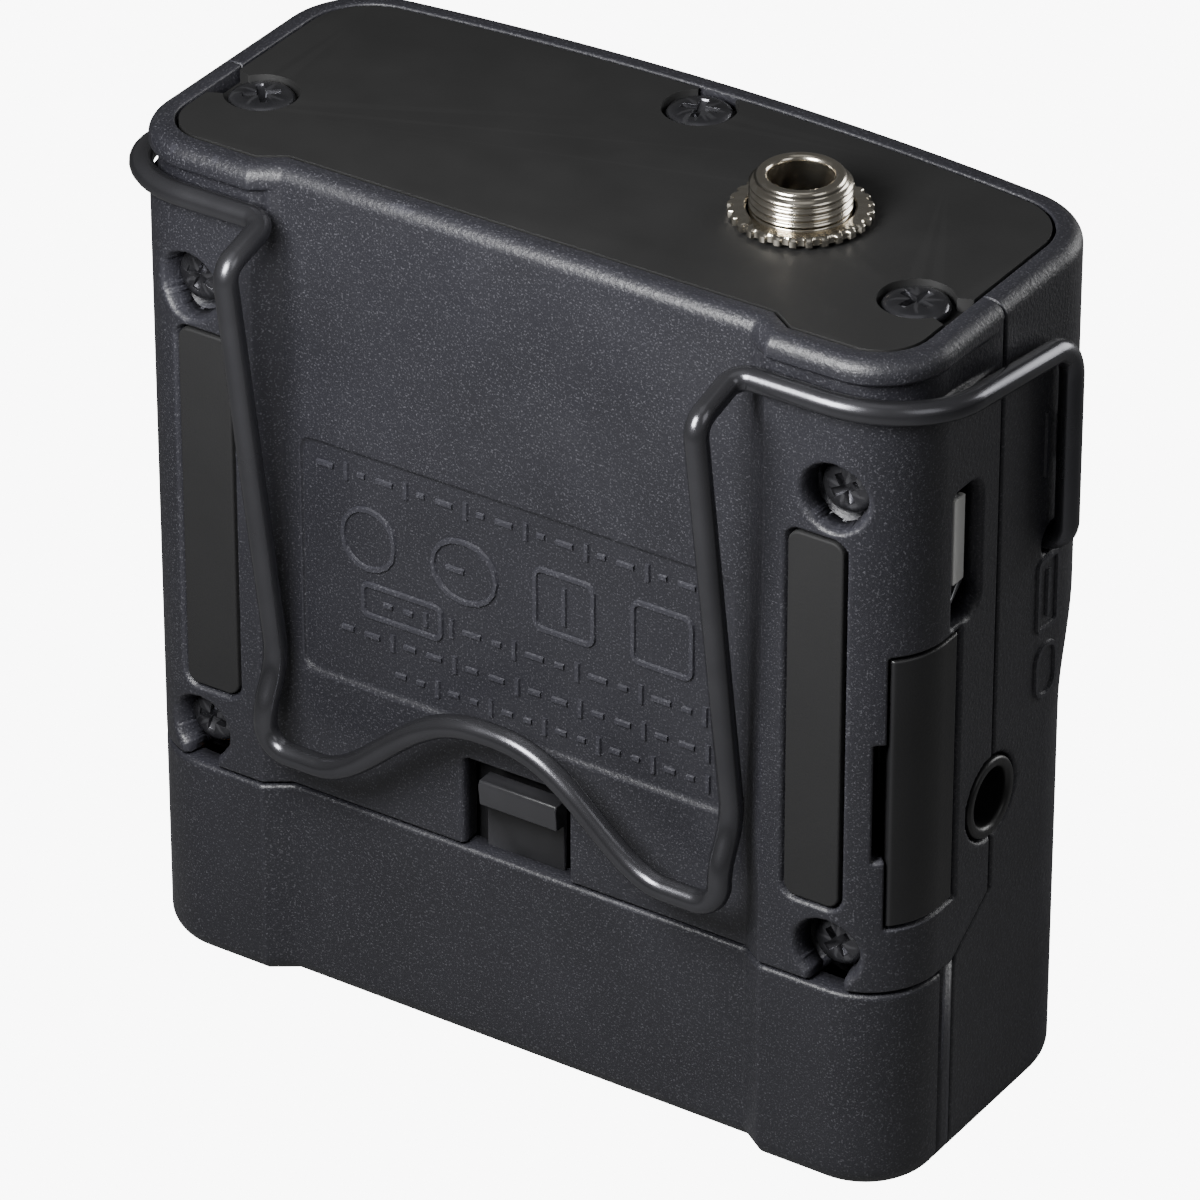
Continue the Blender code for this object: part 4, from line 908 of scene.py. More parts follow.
def plan_loop(inset):
    """The closed plan of the casing's top, moved in by an inset."""
    half = []
    for segment, count in ((BACK_FLAT, 1), (SLOPE, 1), (PILLAR, 1), (CORNER, 16), (SIDE, 1),
                           (FRONT_ARC, 16), (BOW, 12)):
        half += [(segment, k / count) for k in range(count)]
    right = [(1, s, t) for s, t in half] + [(1, BOW, 1.0)]
    left = [(-1, s, t) for s, t in reversed(half[1:])]
    columns = right + left
    wide = np.full((1, len(columns)), inset)
    start, end = np.array([SIDE_START]), np.array([front_corner_y(0.0)])
    x, y = plan_points(columns, wide, np.array([0.0]), start, end)
    return list(zip(x[0], y[0]))


def screw_wedge(x, y):
    """The notch from a screw's hole to the plate's edge."""
    away = Vector((math.copysign(1, x), 0)) if abs(x) > 1 else Vector((0, -1))
    side = Vector((-away.y, away.x))
    near, far = Vector((x, y)) + away, Vector((x, y)) + away * WEDGE_REACH
    corners = [near + side * WEDGE_NEAR, far + side * WEDGE_FAR,
               far - side * WEDGE_FAR, near - side * WEDGE_NEAR]
    return prism("wedge", [tuple(c) for c in corners], SINK_FLOOR, ABOVE)


plate = prism("top_plate_sheet", plan_loop(PLATE_INSET), PLATE_LOW[2], PLATE_TOP)
for spot in SCREWS:
    carve(plate, prism("sink", circle(SINK_R, spot[:2]), SINK_FLOOR, ABOVE),
          screw_wedge(spot[0], spot[1]))
carve(plate, prism("jack_hole", circle(JACK_HOLE_R, JACK[:2], 72), 0, ABOVE))
soften(plate, 0.07)

# %% [markdown]
# ### Pads
# Soft pads stand a little proud of the two pillars.

# %% Rubber pads
pads = []
for word in ("left", "right"):
    low, high = box_mm(f"rubber_pad_{word}")
    mid, half = middle(f"rubber_pad_{word}")
    pad = prism(f"pad_{word}", rounded_outline(half[0], half[2], 0.75, (mid[0], mid[2])),
                low[1], high[1], axis="Y")
    pads.append(soften(pad, 0.14, 4))

# %% [markdown]
# ### Screws
# Two shapes of pan head with a cross recess are made once and copied to their seven places,
# each with its slot turned another way.

# %% Cross-head screws


def screw_shape(name, head_r, head_h, length, shank_r):
    """A pan head with a cross recess, its underside at zero, along +Z."""
    profile = [(0, head_h), (head_r * 0.55, head_h - 0.02), (head_r * 0.8, head_h - 0.09),
               (head_r * 0.93, head_h - 0.2), (head_r, head_h - 0.38), (head_r, 0.08),
               (head_r - 0.08, 0), (shank_r, 0), (shank_r, -length + shank_r), (0, -length)]
    made = lathe(name, profile, 48)
    arm, width, deep = head_r * 0.62, 0.24, 0.5
    for turn in (0, 90):
        outline = [(-arm, head_h + 0.2), (arm, head_h + 0.2), (arm * 0.9, head_h - 0.15),
                   (0.25, head_h - deep), (-0.25, head_h - deep), (-arm * 0.9, head_h - 0.15)]
        cutter = prism("cross", outline, -width, width, axis="Y")
        cutter.data.transform(Matrix.Rotation(math.radians(turn), 4, "Z"))
        carve(made, cutter)
    return soften(made, 0.035, 2, 40)


def place_screw(name, shape, place, turn):
    """A copy of a screw at a place, with its slot turned."""
    made = new_object(name, shape.data.copy())
    made.data.transform(place @ Matrix.Rotation(math.radians(turn), 4, "Z"))
    return made


top_shape = screw_shape("top_screw_shape", 1.9, HEAD_H, 4.2, 0.8)
rear_shape = screw_shape("rear_screw_shape", 1.6, REAR_HEAD_H, 12.0, 0.65)
screw_pieces = []
for k, spot in enumerate(SCREWS, 1):
    place = Matrix.Translation(Vector((spot[0], spot[1], PLATE_TOP - HEAD_H)) * MM)
    screw_pieces.append((place_screw(f"top_screw_head_{k}", top_shape, place, 12 + 31 * k),
                         f"top_screw_{k}"))
for k, mid in enumerate(WELLS, 1):
    head_y = box_mm(f"rear_screw_{k}")[1][1] - REAR_HEAD_H
    place = (Matrix.Translation(Vector((mid[0], head_y, mid[2])) * MM)
             @ Matrix.Rotation(math.radians(-90), 4, "X"))
    screw_pieces.append((place_screw(f"rear_screw_head_{k}", rear_shape, place, 40 * k),
                         f"rear_screw_{k}"))
bpy.data.objects.remove(top_shape)
bpy.data.objects.remove(rear_shape)

# %% [markdown]
# ## Jack
# The socket is a turned, nickel-plated barrel with a fine thread for a locking plug.  A ring
# nut with a serrated edge holds it to the plate.

# %% Jack barrel and nut
JACK_TOP = box_mm("mic_jack_barrel")[1][2]
BORE_R, RING_R = 1.8, 2.5
BARREL_LOW = 44.0
FLANGE_R, FLANGE_H = 3.7, 0.8
THREAD_R, THREAD_DEPTH, THREAD_PITCH, CRESTS = 2.85, 0.2, 0.42, 5


def arc_points(centre, radius, start, end, count):
    """Points on an arc in (radius, height)."""
    return [(centre[0] + radius * math.cos(math.radians(start + (end - start) * k / count)),
             centre[1] + radius * math.sin(math.radians(start + (end - start) * k / count)))
            for k in range(count + 1)]


lip = 0.33
barrel_profile = [(BORE_R, BARREL_LOW)]
barrel_profile += arc_points((BORE_R + lip, JACK_TOP - lip), lip, 180, 90, 6)
barrel_profile += arc_points((RING_R - 0.3, JACK_TOP - 0.3), 0.3, 90, 0, 6)
thread_top = JACK_TOP - 0.42
root = THREAD_R - THREAD_DEPTH
barrel_profile.append((RING_R, thread_top))
for k in range(CRESTS):
    crest = thread_top - THREAD_PITCH * (k + 0.5)
    barrel_profile += [(root, crest + 0.19), (root + 0.05, crest + 0.12),
                       (THREAD_R - 0.02, crest + 0.05), (THREAD_R - 0.02, crest - 0.05),
                       (root + 0.05, crest - 0.12), (root, crest - 0.19)]
plate_under = PLATE_LOW[2] - GAP
barrel_profile += [(root, plate_under), (FLANGE_R, plate_under),
                   (FLANGE_R, plate_under - FLANGE_H), (BORE_R + 0.4, plate_under - FLANGE_H),
                   (BORE_R + 0.4, BARREL_LOW)]
jack_place = Matrix.Translation(Vector((JACK[0], JACK[1], 0)))
barrel = lathe("jack_barrel_turned", barrel_profile, 96, place=jack_place)
contact = lathe("jack_contact", [(0.9, 47.0), (BORE_R - 0.05, 47.0), (BORE_R - 0.05, 46.0),
                                 (0.9, 46.0)], 48, place=jack_place)

NUT_LOW, NUT_HIGH = box_mm("mic_jack_nut")
NUT_R = (NUT_HIGH[0] - NUT_LOW[0]) / 2
TEETH = 28


def serration(k, radius, angle):
    """Teeth on the nut's outer points only."""
    if radius < NUT_R - 0.3:
        return radius
    wave = math.cos(TEETH * angle)
    return radius - 0.12 * (1 - max(-1.0, min(1.0, 2.6 * wave)))


bottom, top = NUT_LOW[2], NUT_HIGH[2]
nut_profile = [(THREAD_R + 0.12, bottom), (THREAD_R + 0.12, top - 0.1),
               (THREAD_R + 0.22, top), (NUT_R - 0.34, top), (NUT_R - 0.1, top - 0.05),
               (NUT_R, top - 0.15), (NUT_R, bottom + 0.08), (NUT_R - 0.08, bottom)]
nut = lathe("jack_nut_serrated", nut_profile, TEETH * 10, serration, jack_place)
nut.data.set_sharp_from_angle(angle=math.radians(40))

# %% [markdown]
# ### Side sockets
# The headphone socket is a black collar with a contact inside.  The USB socket is an upright
# shell with five sides, a plastic tongue and a blade of folded tin at its mouth, whose near-white
# colour is a painted highlight of the lit metal wall.

# %% Headphone socket and USB socket
PHONES_OUT = -box_mm("headphone_jack")[0][0] - 0.15
PHONES_R, PHONES_BORE = 2.42, 1.75
BORE_DEEP, COLLAR_DEEP = 9.0, 10.0
phones_profile = [(0.2, PHONES_OUT - BORE_DEEP), (PHONES_BORE, PHONES_OUT - BORE_DEEP),
                  (PHONES_BORE, PHONES_OUT - 0.35)]
phones_profile += arc_points((PHONES_BORE + 0.3, PHONES_OUT - 0.3), 0.3, 180, 90, 5)
phones_profile += arc_points((PHONES_R - 0.2, PHONES_OUT - 0.2), 0.2, 90, 0, 5)
phones_profile += [(PHONES_R, PHONES_OUT - COLLAR_DEEP), (0.2, PHONES_OUT - COLLAR_DEEP)]
turn_side = (Matrix.Translation(Vector((0, PHONES_Y, PHONES_Z)))
             @ Matrix.Rotation(math.radians(-90), 4, "Y"))
phones = lathe("headphone_collar", phones_profile, 64, place=turn_side)
phones_ring = lathe("headphone_contact", [(1.45, PHONES_OUT - 3.0), (1.72, PHONES_OUT - 3.0),
                                          (1.72, PHONES_OUT - 4.0), (1.45, PHONES_OUT - 4.0)],
                    48, place=turn_side)

USB_LOW, USB_HIGH = box_mm("usb_socket")
USB_SLANT, USB_WALL, USB_BACK = 1.0, 0.3, 0.6


def usb_outline(shrink):
    """The socket's five-sided outline with its narrow side towards the front."""
    top, low = USB_HIGH[1] - shrink, USB_LOW[1] + shrink
    tall = (USB_HIGH[2] - USB_LOW[2]) / 2 - shrink
    mid = (USB_HIGH[2] + USB_LOW[2]) / 2
    middle_y = (top + low) / 2
    return [(top, mid - tall), (top, mid + tall), (middle_y, mid + tall),
            (low, mid + tall - USB_SLANT), (low, mid - tall + USB_SLANT),
            (middle_y, mid - tall)]


usb = prism("usb_shell", usb_outline(0.0), USB_LOW[0], USB_HIGH[0], axis="X")
carve(usb, prism("usb_room", usb_outline(USB_WALL), USB_LOW[0] - 1, USB_HIGH[0] - USB_BACK,
                 axis="X"))
soften(usb, 0.08)
# Painted highlight: the blade's metal is real, its near-white colour stands for the light on it.
BLADE_Y, BLADE_Z = (3.98, 5.08), (36.8, 42.1)
usb_blade = cuboid("usb_blade", (USB_LOW[0] - 0.1, BLADE_Y[0], BLADE_Z[0]),
                   (USB_LOW[0] + 0.3, BLADE_Y[1], BLADE_Z[1]))
soften(usb_blade, 0.08)
tongue_low, tongue_high = box_mm("usb_tongue")
usb_tongue = soften(cuboid("usb_tongue_plastic", tongue_low, tongue_high), 0.1)

# %% [markdown]
# ## Lips in the joints
# A strip of rubber in one side wall stops the light that would shine in at a joint on one
# side and out at the other.

# %% Joint lips
LIP_HALF = SEAM / 2
LIP_FROM, LIP_TO = HALF - 1.4, HALF - 1.0


def joint_lip(name, path):
    """A thin lip in the wall of one side that keeps light out of a joint."""
    back = [(y + LIP_HALF, z) for y, z in path]
    front = [(y - LIP_HALF, z) for y, z in reversed(path)]
    return prism(name, back + front, LIP_FROM, LIP_TO, axis="X")


lips = [joint_lip("joint_lip", [(SPLIT_LOW_Y, 0.15), (SPLIT_LOW_Y, DOOR_TOP + SEAM),
                                (SPLIT_Y, SPLIT_JOG), (SPLIT_Y, 50.5)]),
        joint_lip("door_joint_lip", [(DOOR_EDGE_Y - SEAM / 2, 0.15),
                                     (DOOR_EDGE_Y - SEAM / 2, DOOR_TOP - 0.6)])]

# %% [markdown]
# ## Wire clip
# One black spring wire is bent into the whole clip.  The engineering model parts it over the
# back pillars, where the tongue flexes.  The bends here run smoothly, and both parts end on
# the axis that the tongue turns about, so no gap shows at any angle.

# %% Wire clip
WIRE_R = 0.7
RUN_Y, RUN_Z = 12.0, 50.3
SIDE_X = HALF + WIRE_R + 0.2
CORNER_BEND = 5.8
PARTED_X = 19.85
LEG_X = 15.15
BEND, TOP_BEND, KINK_BEND, FLARE_BEND, HUMP_POWER = 1.6, 1.1, 4.6, 3.6, 1.25
ANCHOR_IN_X, ANCHOR_TOP_Z = 24.3, 48.2
LEG_TOP, KINK, FLARE_H = (16.06, 49.2), (11.95, 22.4), 2.6


def bent_wire(corners, radii, steps=14):
    """Points along a bent wire: straight runs with an arc in each corner."""
    spots = [Vector(c) for c in corners]
    path = [spots[0]]
    for k in range(1, len(spots) - 1):
        before = (spots[k - 1] - spots[k]).normalized()
        after = (spots[k + 1] - spots[k]).normalized()
        half = before.angle(after) / 2
        reach = radii[k - 1] / math.tan(half)
        first, last = spots[k] + before * reach, spots[k] + after * reach
        centre = spots[k] + (before + after).normalized() * (radii[k - 1] / math.sin(half))
        a, b = (first - centre).normalized(), (last - centre).normalized()
        path += [centre + a.slerp(b, s / steps) * radii[k - 1] for s in range(steps + 1)]
    return path + [spots[-1]]


def wire_piece(name, points):
    """A round wire through the points, with round ends."""
    curve = bpy.data.curves.new(name, "CURVE")
    curve.dimensions = "3D"
    curve.bevel_depth = WIRE_R * MM
    curve.bevel_resolution = 7
    curve.use_fill_caps = True
    line = curve.splines.new("POLY")
    line.points.add(len(points) - 1)
    for spot, point in zip(line.points, points):
        spot.co = (*(point * MM), 1)
    guide = new_object(name + "_guide", curve)
    bpy.context.view_layer.update()
    mesh = bpy.data.meshes.new_from_object(
        guide.evaluated_get(bpy.context.evaluated_depsgraph_get()))
    mesh.name = name
    bpy.data.objects.remove(guide)
    made = tidy_mesh(new_object(name, mesh))
    mesh.set_sharp_from_angle(angle=math.radians(50))
    return made


LOBE_Z, HUMP_TOP, HUMP_HALF, FLARE_Y = 17.15, 23.2, 11.6, 13.25
half_wire = bent_wire([(PARTED_X, RUN_Y, RUN_Z), (LEG_X, RUN_Y, RUN_Z), (LEG_X, *LEG_TOP),
                       (LEG_X, *KINK), (LEG_X, FLARE_Y, LOBE_Z + FLARE_H),
                       (LEG_X, FLARE_Y, LOBE_Z), (HUMP_HALF, FLARE_Y, LOBE_Z)],
                      [TOP_BEND, TOP_BEND, KINK_BEND, FLARE_BEND, BEND])
rise = (HUMP_TOP - LOBE_Z) / 2
for k in range(39, 0, -1):
    turn = math.pi * (k / 40) ** HUMP_POWER
    half_wire.append(Vector((HUMP_HALF * k / 40, FLARE_Y, LOBE_Z + rise * (1 + math.cos(turn)))))
whole = half_wire + [Vector((0, FLARE_Y, HUMP_TOP))]
whole += [Vector((-p.x, p.y, p.z)) for p in reversed(half_wire)]
tongue = wire_piece("clip_wire_tongue", whole)
anchors = []
for word, sign in (("left", 1), ("right", -1)):
    path = bent_wire([(ANCHOR_IN_X, ANCHOR_Y, ANCHOR_Z), (SIDE_X, ANCHOR_Y, ANCHOR_Z),
                      (SIDE_X, ANCHOR_Y, ANCHOR_TOP_Z), (SIDE_X, RUN_Y, RUN_Z),
                      (PARTED_X, RUN_Y, RUN_Z)], [1.4, 2.4, CORNER_BEND])
    path = [Vector((sign * p.x, p.y, p.z)) for p in path]
    anchors.append((wire_piece(f"clip_wire_{word}", path), f"clip_anchor_{word}"))

# %% [markdown]
# ## Latch
# A thumb latch stands behind a window in the rear cover, with a lip to press down on.

# %% Door latch
LATCH_LOW, LATCH_HIGH = box_mm("door_latch")
LATCH_PLATE, LATCH_LIP = 0.3, 1.1
plate_y, latch_top = LATCH_LOW[1], LATCH_HIGH[2]
latch_outline = [(plate_y, LATCH_LOW[2]), (plate_y + LATCH_PLATE, LATCH_LOW[2]),
                 (plate_y + LATCH_PLATE, latch_top - 1.75),
                 (plate_y + LATCH_LIP, latch_top - 1.65),
                 (plate_y + LATCH_LIP + 0.15, latch_top - 0.3),
                 (plate_y + LATCH_LIP, latch_top), (plate_y, latch_top)]
latch = prism("latch_slide_moulding", latch_outline, LATCH_LOW[0], LATCH_HIGH[0], axis="X")
soften(latch, 0.1)

# %% [markdown]
# ## Raised marks
# The field on the back carries low raised bars, which stand for moulded print.

# %% Raised marks
MARK_RISE, MARK_SINK, STROKE, MARK_SLOPE = 0.14, 0.05, 0.12, 0.08
field_y = BACK - RECESS - LABEL_DEPTH


def stroke_mesh(name, lines, place):
    """Raised strokes with sloping sides.  lines are (points, closed) in (u, v);
    place turns (u, v, rise) into a point."""
    points, faces = [], []
    for line, closed in lines:
        count = len(line)
        start = len(points)
        for k, spot in enumerate(line):
            here = Vector(spot)
            after = Vector(line[(k + 1) % count] if closed or k < count - 1 else spot) - here
            before = here - Vector(line[k - 1] if closed or k > 0 else spot)
            along = (after.normalized() + before.normalized()).normalized()
            bend = max(0.5, along.dot((after if after.length else before).normalized()))
            across = Vector((-along.y, along.x)) / bend
            for wide, rise in ((STROKE + MARK_SLOPE, -MARK_SINK), (STROKE, MARK_RISE),
                               (-STROKE, MARK_RISE), (-STROKE - MARK_SLOPE, -MARK_SINK)):
                points.append(place(*(here + across * wide), rise))
        for k in range(count if closed else count - 1):
            a, b = start + 4 * k, start + 4 * ((k + 1) % count)
            faces += [(a + i, a + (i + 1) % 4, b + (i + 1) % 4, b + i) for i in range(4)]
        if not closed:
            last = start + 4 * (count - 1)
            faces += [tuple(start + i for i in range(4)), tuple(last + i for i in range(4))]
    made = mesh_object(name, points, faces)
    for polygon in made.data.polygons:
        polygon.use_smooth = False
    return made


def frame_line(u, v, half_u, half_v, radius):
    """A closed outline with round corners."""
    return rounded_outline(half_u, half_v, radius, (u, v), steps=4), True


def dashes(v, low, high, lengths, tall):
    """A row of short upright and level bars that fills a width."""
    lines, u, k = [], low, 0
    while u < high:
        long = lengths[k % len(lengths)]
        if k % 3 == 0:
            lines.append(([(u, v - tall / 2), (u, v + tall / 2)], False))
            u += STROKE + 0.75
        else:
            lines.append(([(u, v), (u + long, v)], False))
            u += long + 0.75
        k += 1
    return lines


strokes = dashes(35.1, -12.6, 12.8, (0.7, 1.1, 0.5), 1.1)
for u, half in ((-9.6, 1.9), (-3.2, 1.9), (3.4, 2.1), (9.8, 1.7)):
    strokes.append(frame_line(u, 31.1, half, 1.9, min(half, 1.9) - 0.02 if u > 0 else 0.5))
strokes += [([(-3.2, 29.9), (-3.2, 32.3)], False), ([(3.4, 31.1), (4.6, 31.1)], False)]
strokes.append(frame_line(7.6, 27.2, 2.6, 1.0, 0.4))
strokes += dashes(27.2, -12.4, 4.4, (0.9, 0.6, 1.2), 1.2)
strokes += dashes(27.2, 6.0, 9.2, (0.6,), 0.9)
strokes += dashes(24.9, -12.6, 11.6, (0.6, 1.0, 0.8), 1.1)
strokes += dashes(22.9, -12.6, 8.6, (1.1, 0.5, 0.7), 1.1)
raised = stroke_mesh("raised_marks", strokes, lambda u, v, rise: (u, field_y + rise, v))
side_strokes = [frame_line(-3.6, 32.4, 1.0, 2.2, 0.3), frame_line(-3.6, 27.4, 1.0, 1.6, 0.9),
                ([(-3.6, 30.9), (-3.6, 33.9)], False), ([(-3.0, 40.0), (-3.0, 44.0)], False),
                ([(-4.4, 40.6), (-4.4, 43.4)], False)]
side_marks = stroke_mesh("side_marks", side_strokes,
                         lambda u, v, rise: (-HALF - rise, u, v))

# %% [markdown]
# ## Finishes
# Black plastics differ by how their moulds were finished, and a black object shows that only
# in how its highlights break up.  So each material below gets its own grain, in real sizes.

# %% Material helper


def new_material(name, settings):
    """A material with its Principled shader's fixed values set on its own sockets."""
    made = bpy.data.materials.new(name)
    made.use_nodes = True
    tree = made.node_tree
    shader = tree.nodes["Principled BSDF"]
    for key, value in settings.items():
        shader.inputs[key].default_value = value
    place = add_node(tree, "ShaderNodeTexCoord").outputs["Object"]
    return made, tree, shader, place


def per_mm(size):
    """Texture scale for a pattern that repeats every so many millimetres."""
    return 1 / (size * MM)


def noise(tree, place, size, **settings):
    """Cloudy noise with lumps of a size in millimetres."""
    return add_node(tree, "ShaderNodeTexNoise", {"Scale": per_mm(size), **settings},
                    {"Vector": place}).outputs["Fac"]


def remap(tree, value, low, high, to_low, to_high):
    """Stretches one range of a value onto another."""
    return add_node(tree, "ShaderNodeMapRange",
                    {"From Min": low, "From Max": high, "To Min": to_low, "To Max": to_high},
                    {"Value": value}).outputs["Result"]


def grain(tree, shader, place, size, height, roughness, spread):
    """Moulded or cast grain: noise as bump, and as a little change of roughness."""
    lumps = noise(tree, place, size, Detail=3.0, Roughness=0.6)
    bump = add_node(tree, "ShaderNodeBump", {"Strength": 1.0, "Distance": height * MM},
                    {"Height": lumps})
    tree.links.new(bump.outputs["Normal"], shader.inputs["Normal"])
    patch = noise(tree, place, size * 30, Detail=4.0)
    rough = remap(tree, patch, 0.3, 0.7, roughness - spread, roughness + spread)
    tree.links.new(rough, shader.inputs["Roughness"])


def overlay(tree, shader, mask, under, colour):
    """Lays a colour over the one below where the mask says."""
    mix = add_node(tree, "ShaderNodeMix", {"data_type": "RGBA", 7: linear(colour)}, {0: mask})
    if isinstance(under, str):
        mix.inputs[6].default_value = linear(under)
    else:
        tree.links.new(under, mix.inputs[6])
    tree.links.new(mix.outputs[2], shader.inputs["Base Color"])
    return mix.outputs[2]


def cloud_and_edge_highlight(tree, shader, place, base, light, size, edge):
    """Base colour with cloudy change, and a paler tone painted on convex edges as a highlight."""
    cloud = remap(tree, noise(tree, place, size, Detail=5.0), 0.35, 0.75, 0.0, 0.35)
    # Painted highlight: convex edges, found by pointiness, are painted paler.
    convex = add_node(tree, "ShaderNodeNewGeometry").outputs["Pointiness"]
    edge_highlight = remap(tree, convex, 0.51, 0.58, 0.0, edge)
    total = add_node(tree, "ShaderNodeMath", {"operation": "ADD", "use_clamp": True},
                     {0: cloud, 1: edge_highlight})
    return overlay(tree, shader, total.outputs[0], base, light)


def surface(name, settings, size, height, roughness, spread, base, light, clouds, edge):
    """A whole material.  size, height and clouds are the grain's pitch and depth and the
    pitch of the colour's clouds, in millimetres; edge is how strongly convex edges are painted
    paler as a highlight."""
    made, tree, shader, place = new_material(name, settings)
    grain(tree, shader, place, size, height, roughness, spread)
    colour = cloud_and_edge_highlight(tree, shader, place, base, light, clouds, edge)
    return made, tree, shader, place, colour


# %% [markdown]
# ### Spark-eroded ABS
# The casing is ABS from a mould with a spark-eroded surface.  That gives a fine pebble of
# about a quarter of a millimetre, and the glints of its tips are painted in as tiny pale specks.

# %% Spark-eroded ABS
abs_black, tree, shader, place, colour = surface(
    "spark_eroded_abs", {"IOR": 1.53, "Metallic": 0.0}, 0.26, 0.045, 0.46, 0.05,
    "#1e1e23", "#2b2b31", 6.0, 0.9)
SPECK_MM = 0.11
# Painted highlight: tiny pale specks stand for the glints of the pebble's tips.
painted_glints = noise(tree, place, SPECK_MM, Detail=1.0, Roughness=0.4)
overlay(tree, shader, remap(tree, painted_glints, 0.58, 0.74, 0.0, 0.3), colour, "#77777d")

# %% [markdown]
# ### Plain finishes
# The plate is a sheet with a dead flat black coat.  The pads are cast rubber.  Keys, flap
# and latch come from finer, smoother moulds.  The wire is spring steel under a satin black
# coat, the screws are black-oxide steel, and the jack is brass with bright nickel plate,
# which is slightly warm.  The display window is clear acrylic over a dark panel.

# %% Plain finishes
# Columns: name, shader values, grain pitch and depth, roughness and its spread, base colour,
# paler colour, pitch of the clouds, and how strongly convex edges are painted paler as a
# highlight.
PLAIN = (
    ("flat_black_coat", {"IOR": 1.5}, 0.12, 0.006, 0.6, 0.04, "#171717", "#1d1d1d", 9.0, 0.6),
    ("cast_rubber", {"IOR": 1.52}, 0.16, 0.012, 0.78, 0.05, "#0e0e0f", "#151516", 4.0, 0.4),
    # The latch's black acetal is painted darker than the flap as the shade under its lip, and its
    # edges much paler as the lip's highlight.
    ("black_acetal_painted_shade_and_highlight", {"IOR": 1.48}, 0.3, 0.004, 0.34, 0.05, "#0a0a0b", "#3a3a3d", 5.0, 0.9),
    ("smooth_abs", {"IOR": 1.53}, 0.2, 0.014, 0.42, 0.05, "#151516", "#1e1e20", 5.0, 0.6),
    ("satin_coated_wire", {"Metallic": 0.85}, 0.15, 0.003, 0.24, 0.05, "#515155", "#646468",
     3.0, 0.3),
    ("black_oxide_steel", {"Metallic": 0.85}, 0.1, 0.005, 0.24, 0.08, "#3c3c40", "#68686c",
     1.5, 0.8),
    ("nickel_plate", {"Metallic": 1.0}, 0.3, 0.003, 0.17, 0.06, "#c9c2b4", "#e6e0d4", 1.2, 0.5),
    ("bright_steel", {"Metallic": 1.0}, 0.25, 0.004, 0.28, 0.06, "#b9babd", "#d6d7da", 1.5, 0.4),
    # The tin is painted near white and barely metallic, as a highlight on the socket's wall.
    ("pale_tin_painted_highlight", {"Metallic": 0.2}, 0.25, 0.003, 0.35, 0.05, "#e9e9e6", "#f4f4f2", 1.5, 0.2),
    ("smoked_acrylic", {"IOR": 1.49, "Coat Weight": 0.5, "Coat Roughness": 0.03},
     0.6, 0.002, 0.06, 0.02, "#0b0d10", "#101317", 8.0, 0.3),
    ("display_panel", {"IOR": 1.5}, 0.4, 0.003, 0.2, 0.03, "#0c1015", "#141a20", 3.0, 0.2),
    ("chip_resin", {"IOR": 1.55}, 0.12, 0.008, 0.55, 0.05, "#161618", "#202024", 2.0, 0.4),
    ("light_guide", {"IOR": 1.49}, 0.3, 0.003, 0.15, 0.03, "#8d9094", "#a8abb0", 1.5, 0.3))
(flat_coat, rubber, acetal_shade_and_highlight, smooth_abs, wire_coat, black_oxide, nickel, steel, tin_painted_highlight, acrylic,
 panel, chip, light_guide) = [surface(*row)[0] for row in PLAIN]
print("plain finishes:", len(PLAIN))

# %% [markdown]
# ### Boards and the cell
# The boards inside are glass fibre with a green coat over a grid of tracks.  The cell has a
# printed foil sleeve with a copper-coloured band at its positive end.

# %% Board and foil sleeve
TRACK_MM = 1.6
BAND_FROM = 13 * MM
board, tree, shader, place, colour = surface(
    "solder_mask_board", {"IOR": 1.55}, 0.3, 0.01, 0.4, 0.06, "#12391f", "#1d5230", 2.0, 0.2)
tracks = add_node(tree, "ShaderNodeTexBrick",
                  {"Scale": per_mm(TRACK_MM), "Mortar Size": 0.06, "Mortar Smooth": 0.1},
                  {"Vector": place})
overlay(tree, shader, tracks.outputs["Fac"], colour, "#2f6b3d")

sleeve, tree, shader, place, colour = surface(
    "foil_sleeve", {"Metallic": 0.7}, 0.4, 0.004, 0.3, 0.05, "#3c4046", "#4b5058", 4.0, 0.4)
along = add_node(tree, "ShaderNodeSeparateXYZ", links={"Vector": place})
band = add_node(tree, "ShaderNodeMath", {"operation": "GREATER_THAN", 1: BAND_FROM},
                {0: along.outputs["X"]})
overlay(tree, shader, band.outputs[0], colour, "#b7793a")

# %% [markdown]
# ## Putting it together
# Each new piece stands for its engineering node and rides on that node's body.  The nodes
# whose shape is already right only get a finish.

# %% Give every piece its finish and body
finish_piece(rear, "body", abs_black, ["rear_cover"])
finish_piece(front, "body", abs_black, ["front_cover"])
finish_piece(door, "battery_door_part", abs_black, ["battery_door"])
finish_piece(knuckle, "battery_door_part", abs_black)
for piece in cups + legs + [raised, side_marks]:
    finish_piece(piece, "body", abs_black)
finish_piece(flap, "card_cover_part", smooth_abs, ["card_cover"])
for lip in lips:
    finish_piece(lip, "body", rubber)
finish_piece(plate, "body", flat_coat, ["top_plate"])
for pad, word in zip(pads, ("left", "right")):
    finish_piece(pad, "body", rubber, [f"rubber_pad_{word}"])
for piece, node in screw_pieces:
    finish_piece(piece, "body", black_oxide, [node])
finish_piece(barrel, "body", nickel, ["mic_jack_barrel"])
finish_piece(contact, "body", steel)
finish_piece(nut, "body", nickel, ["mic_jack_nut"])
finish_piece(phones, "body", smooth_abs, ["headphone_jack"])
finish_piece(phones_ring, "body", steel)
finish_piece(usb, "body", steel, ["usb_socket"])
finish_piece(usb_blade, "body", tin_painted_highlight)
finish_piece(usb_tongue, "body", smooth_abs, ["usb_tongue"])
finish_piece(tongue, "clip_tongue_part", wire_coat, ["clip_tongue"])
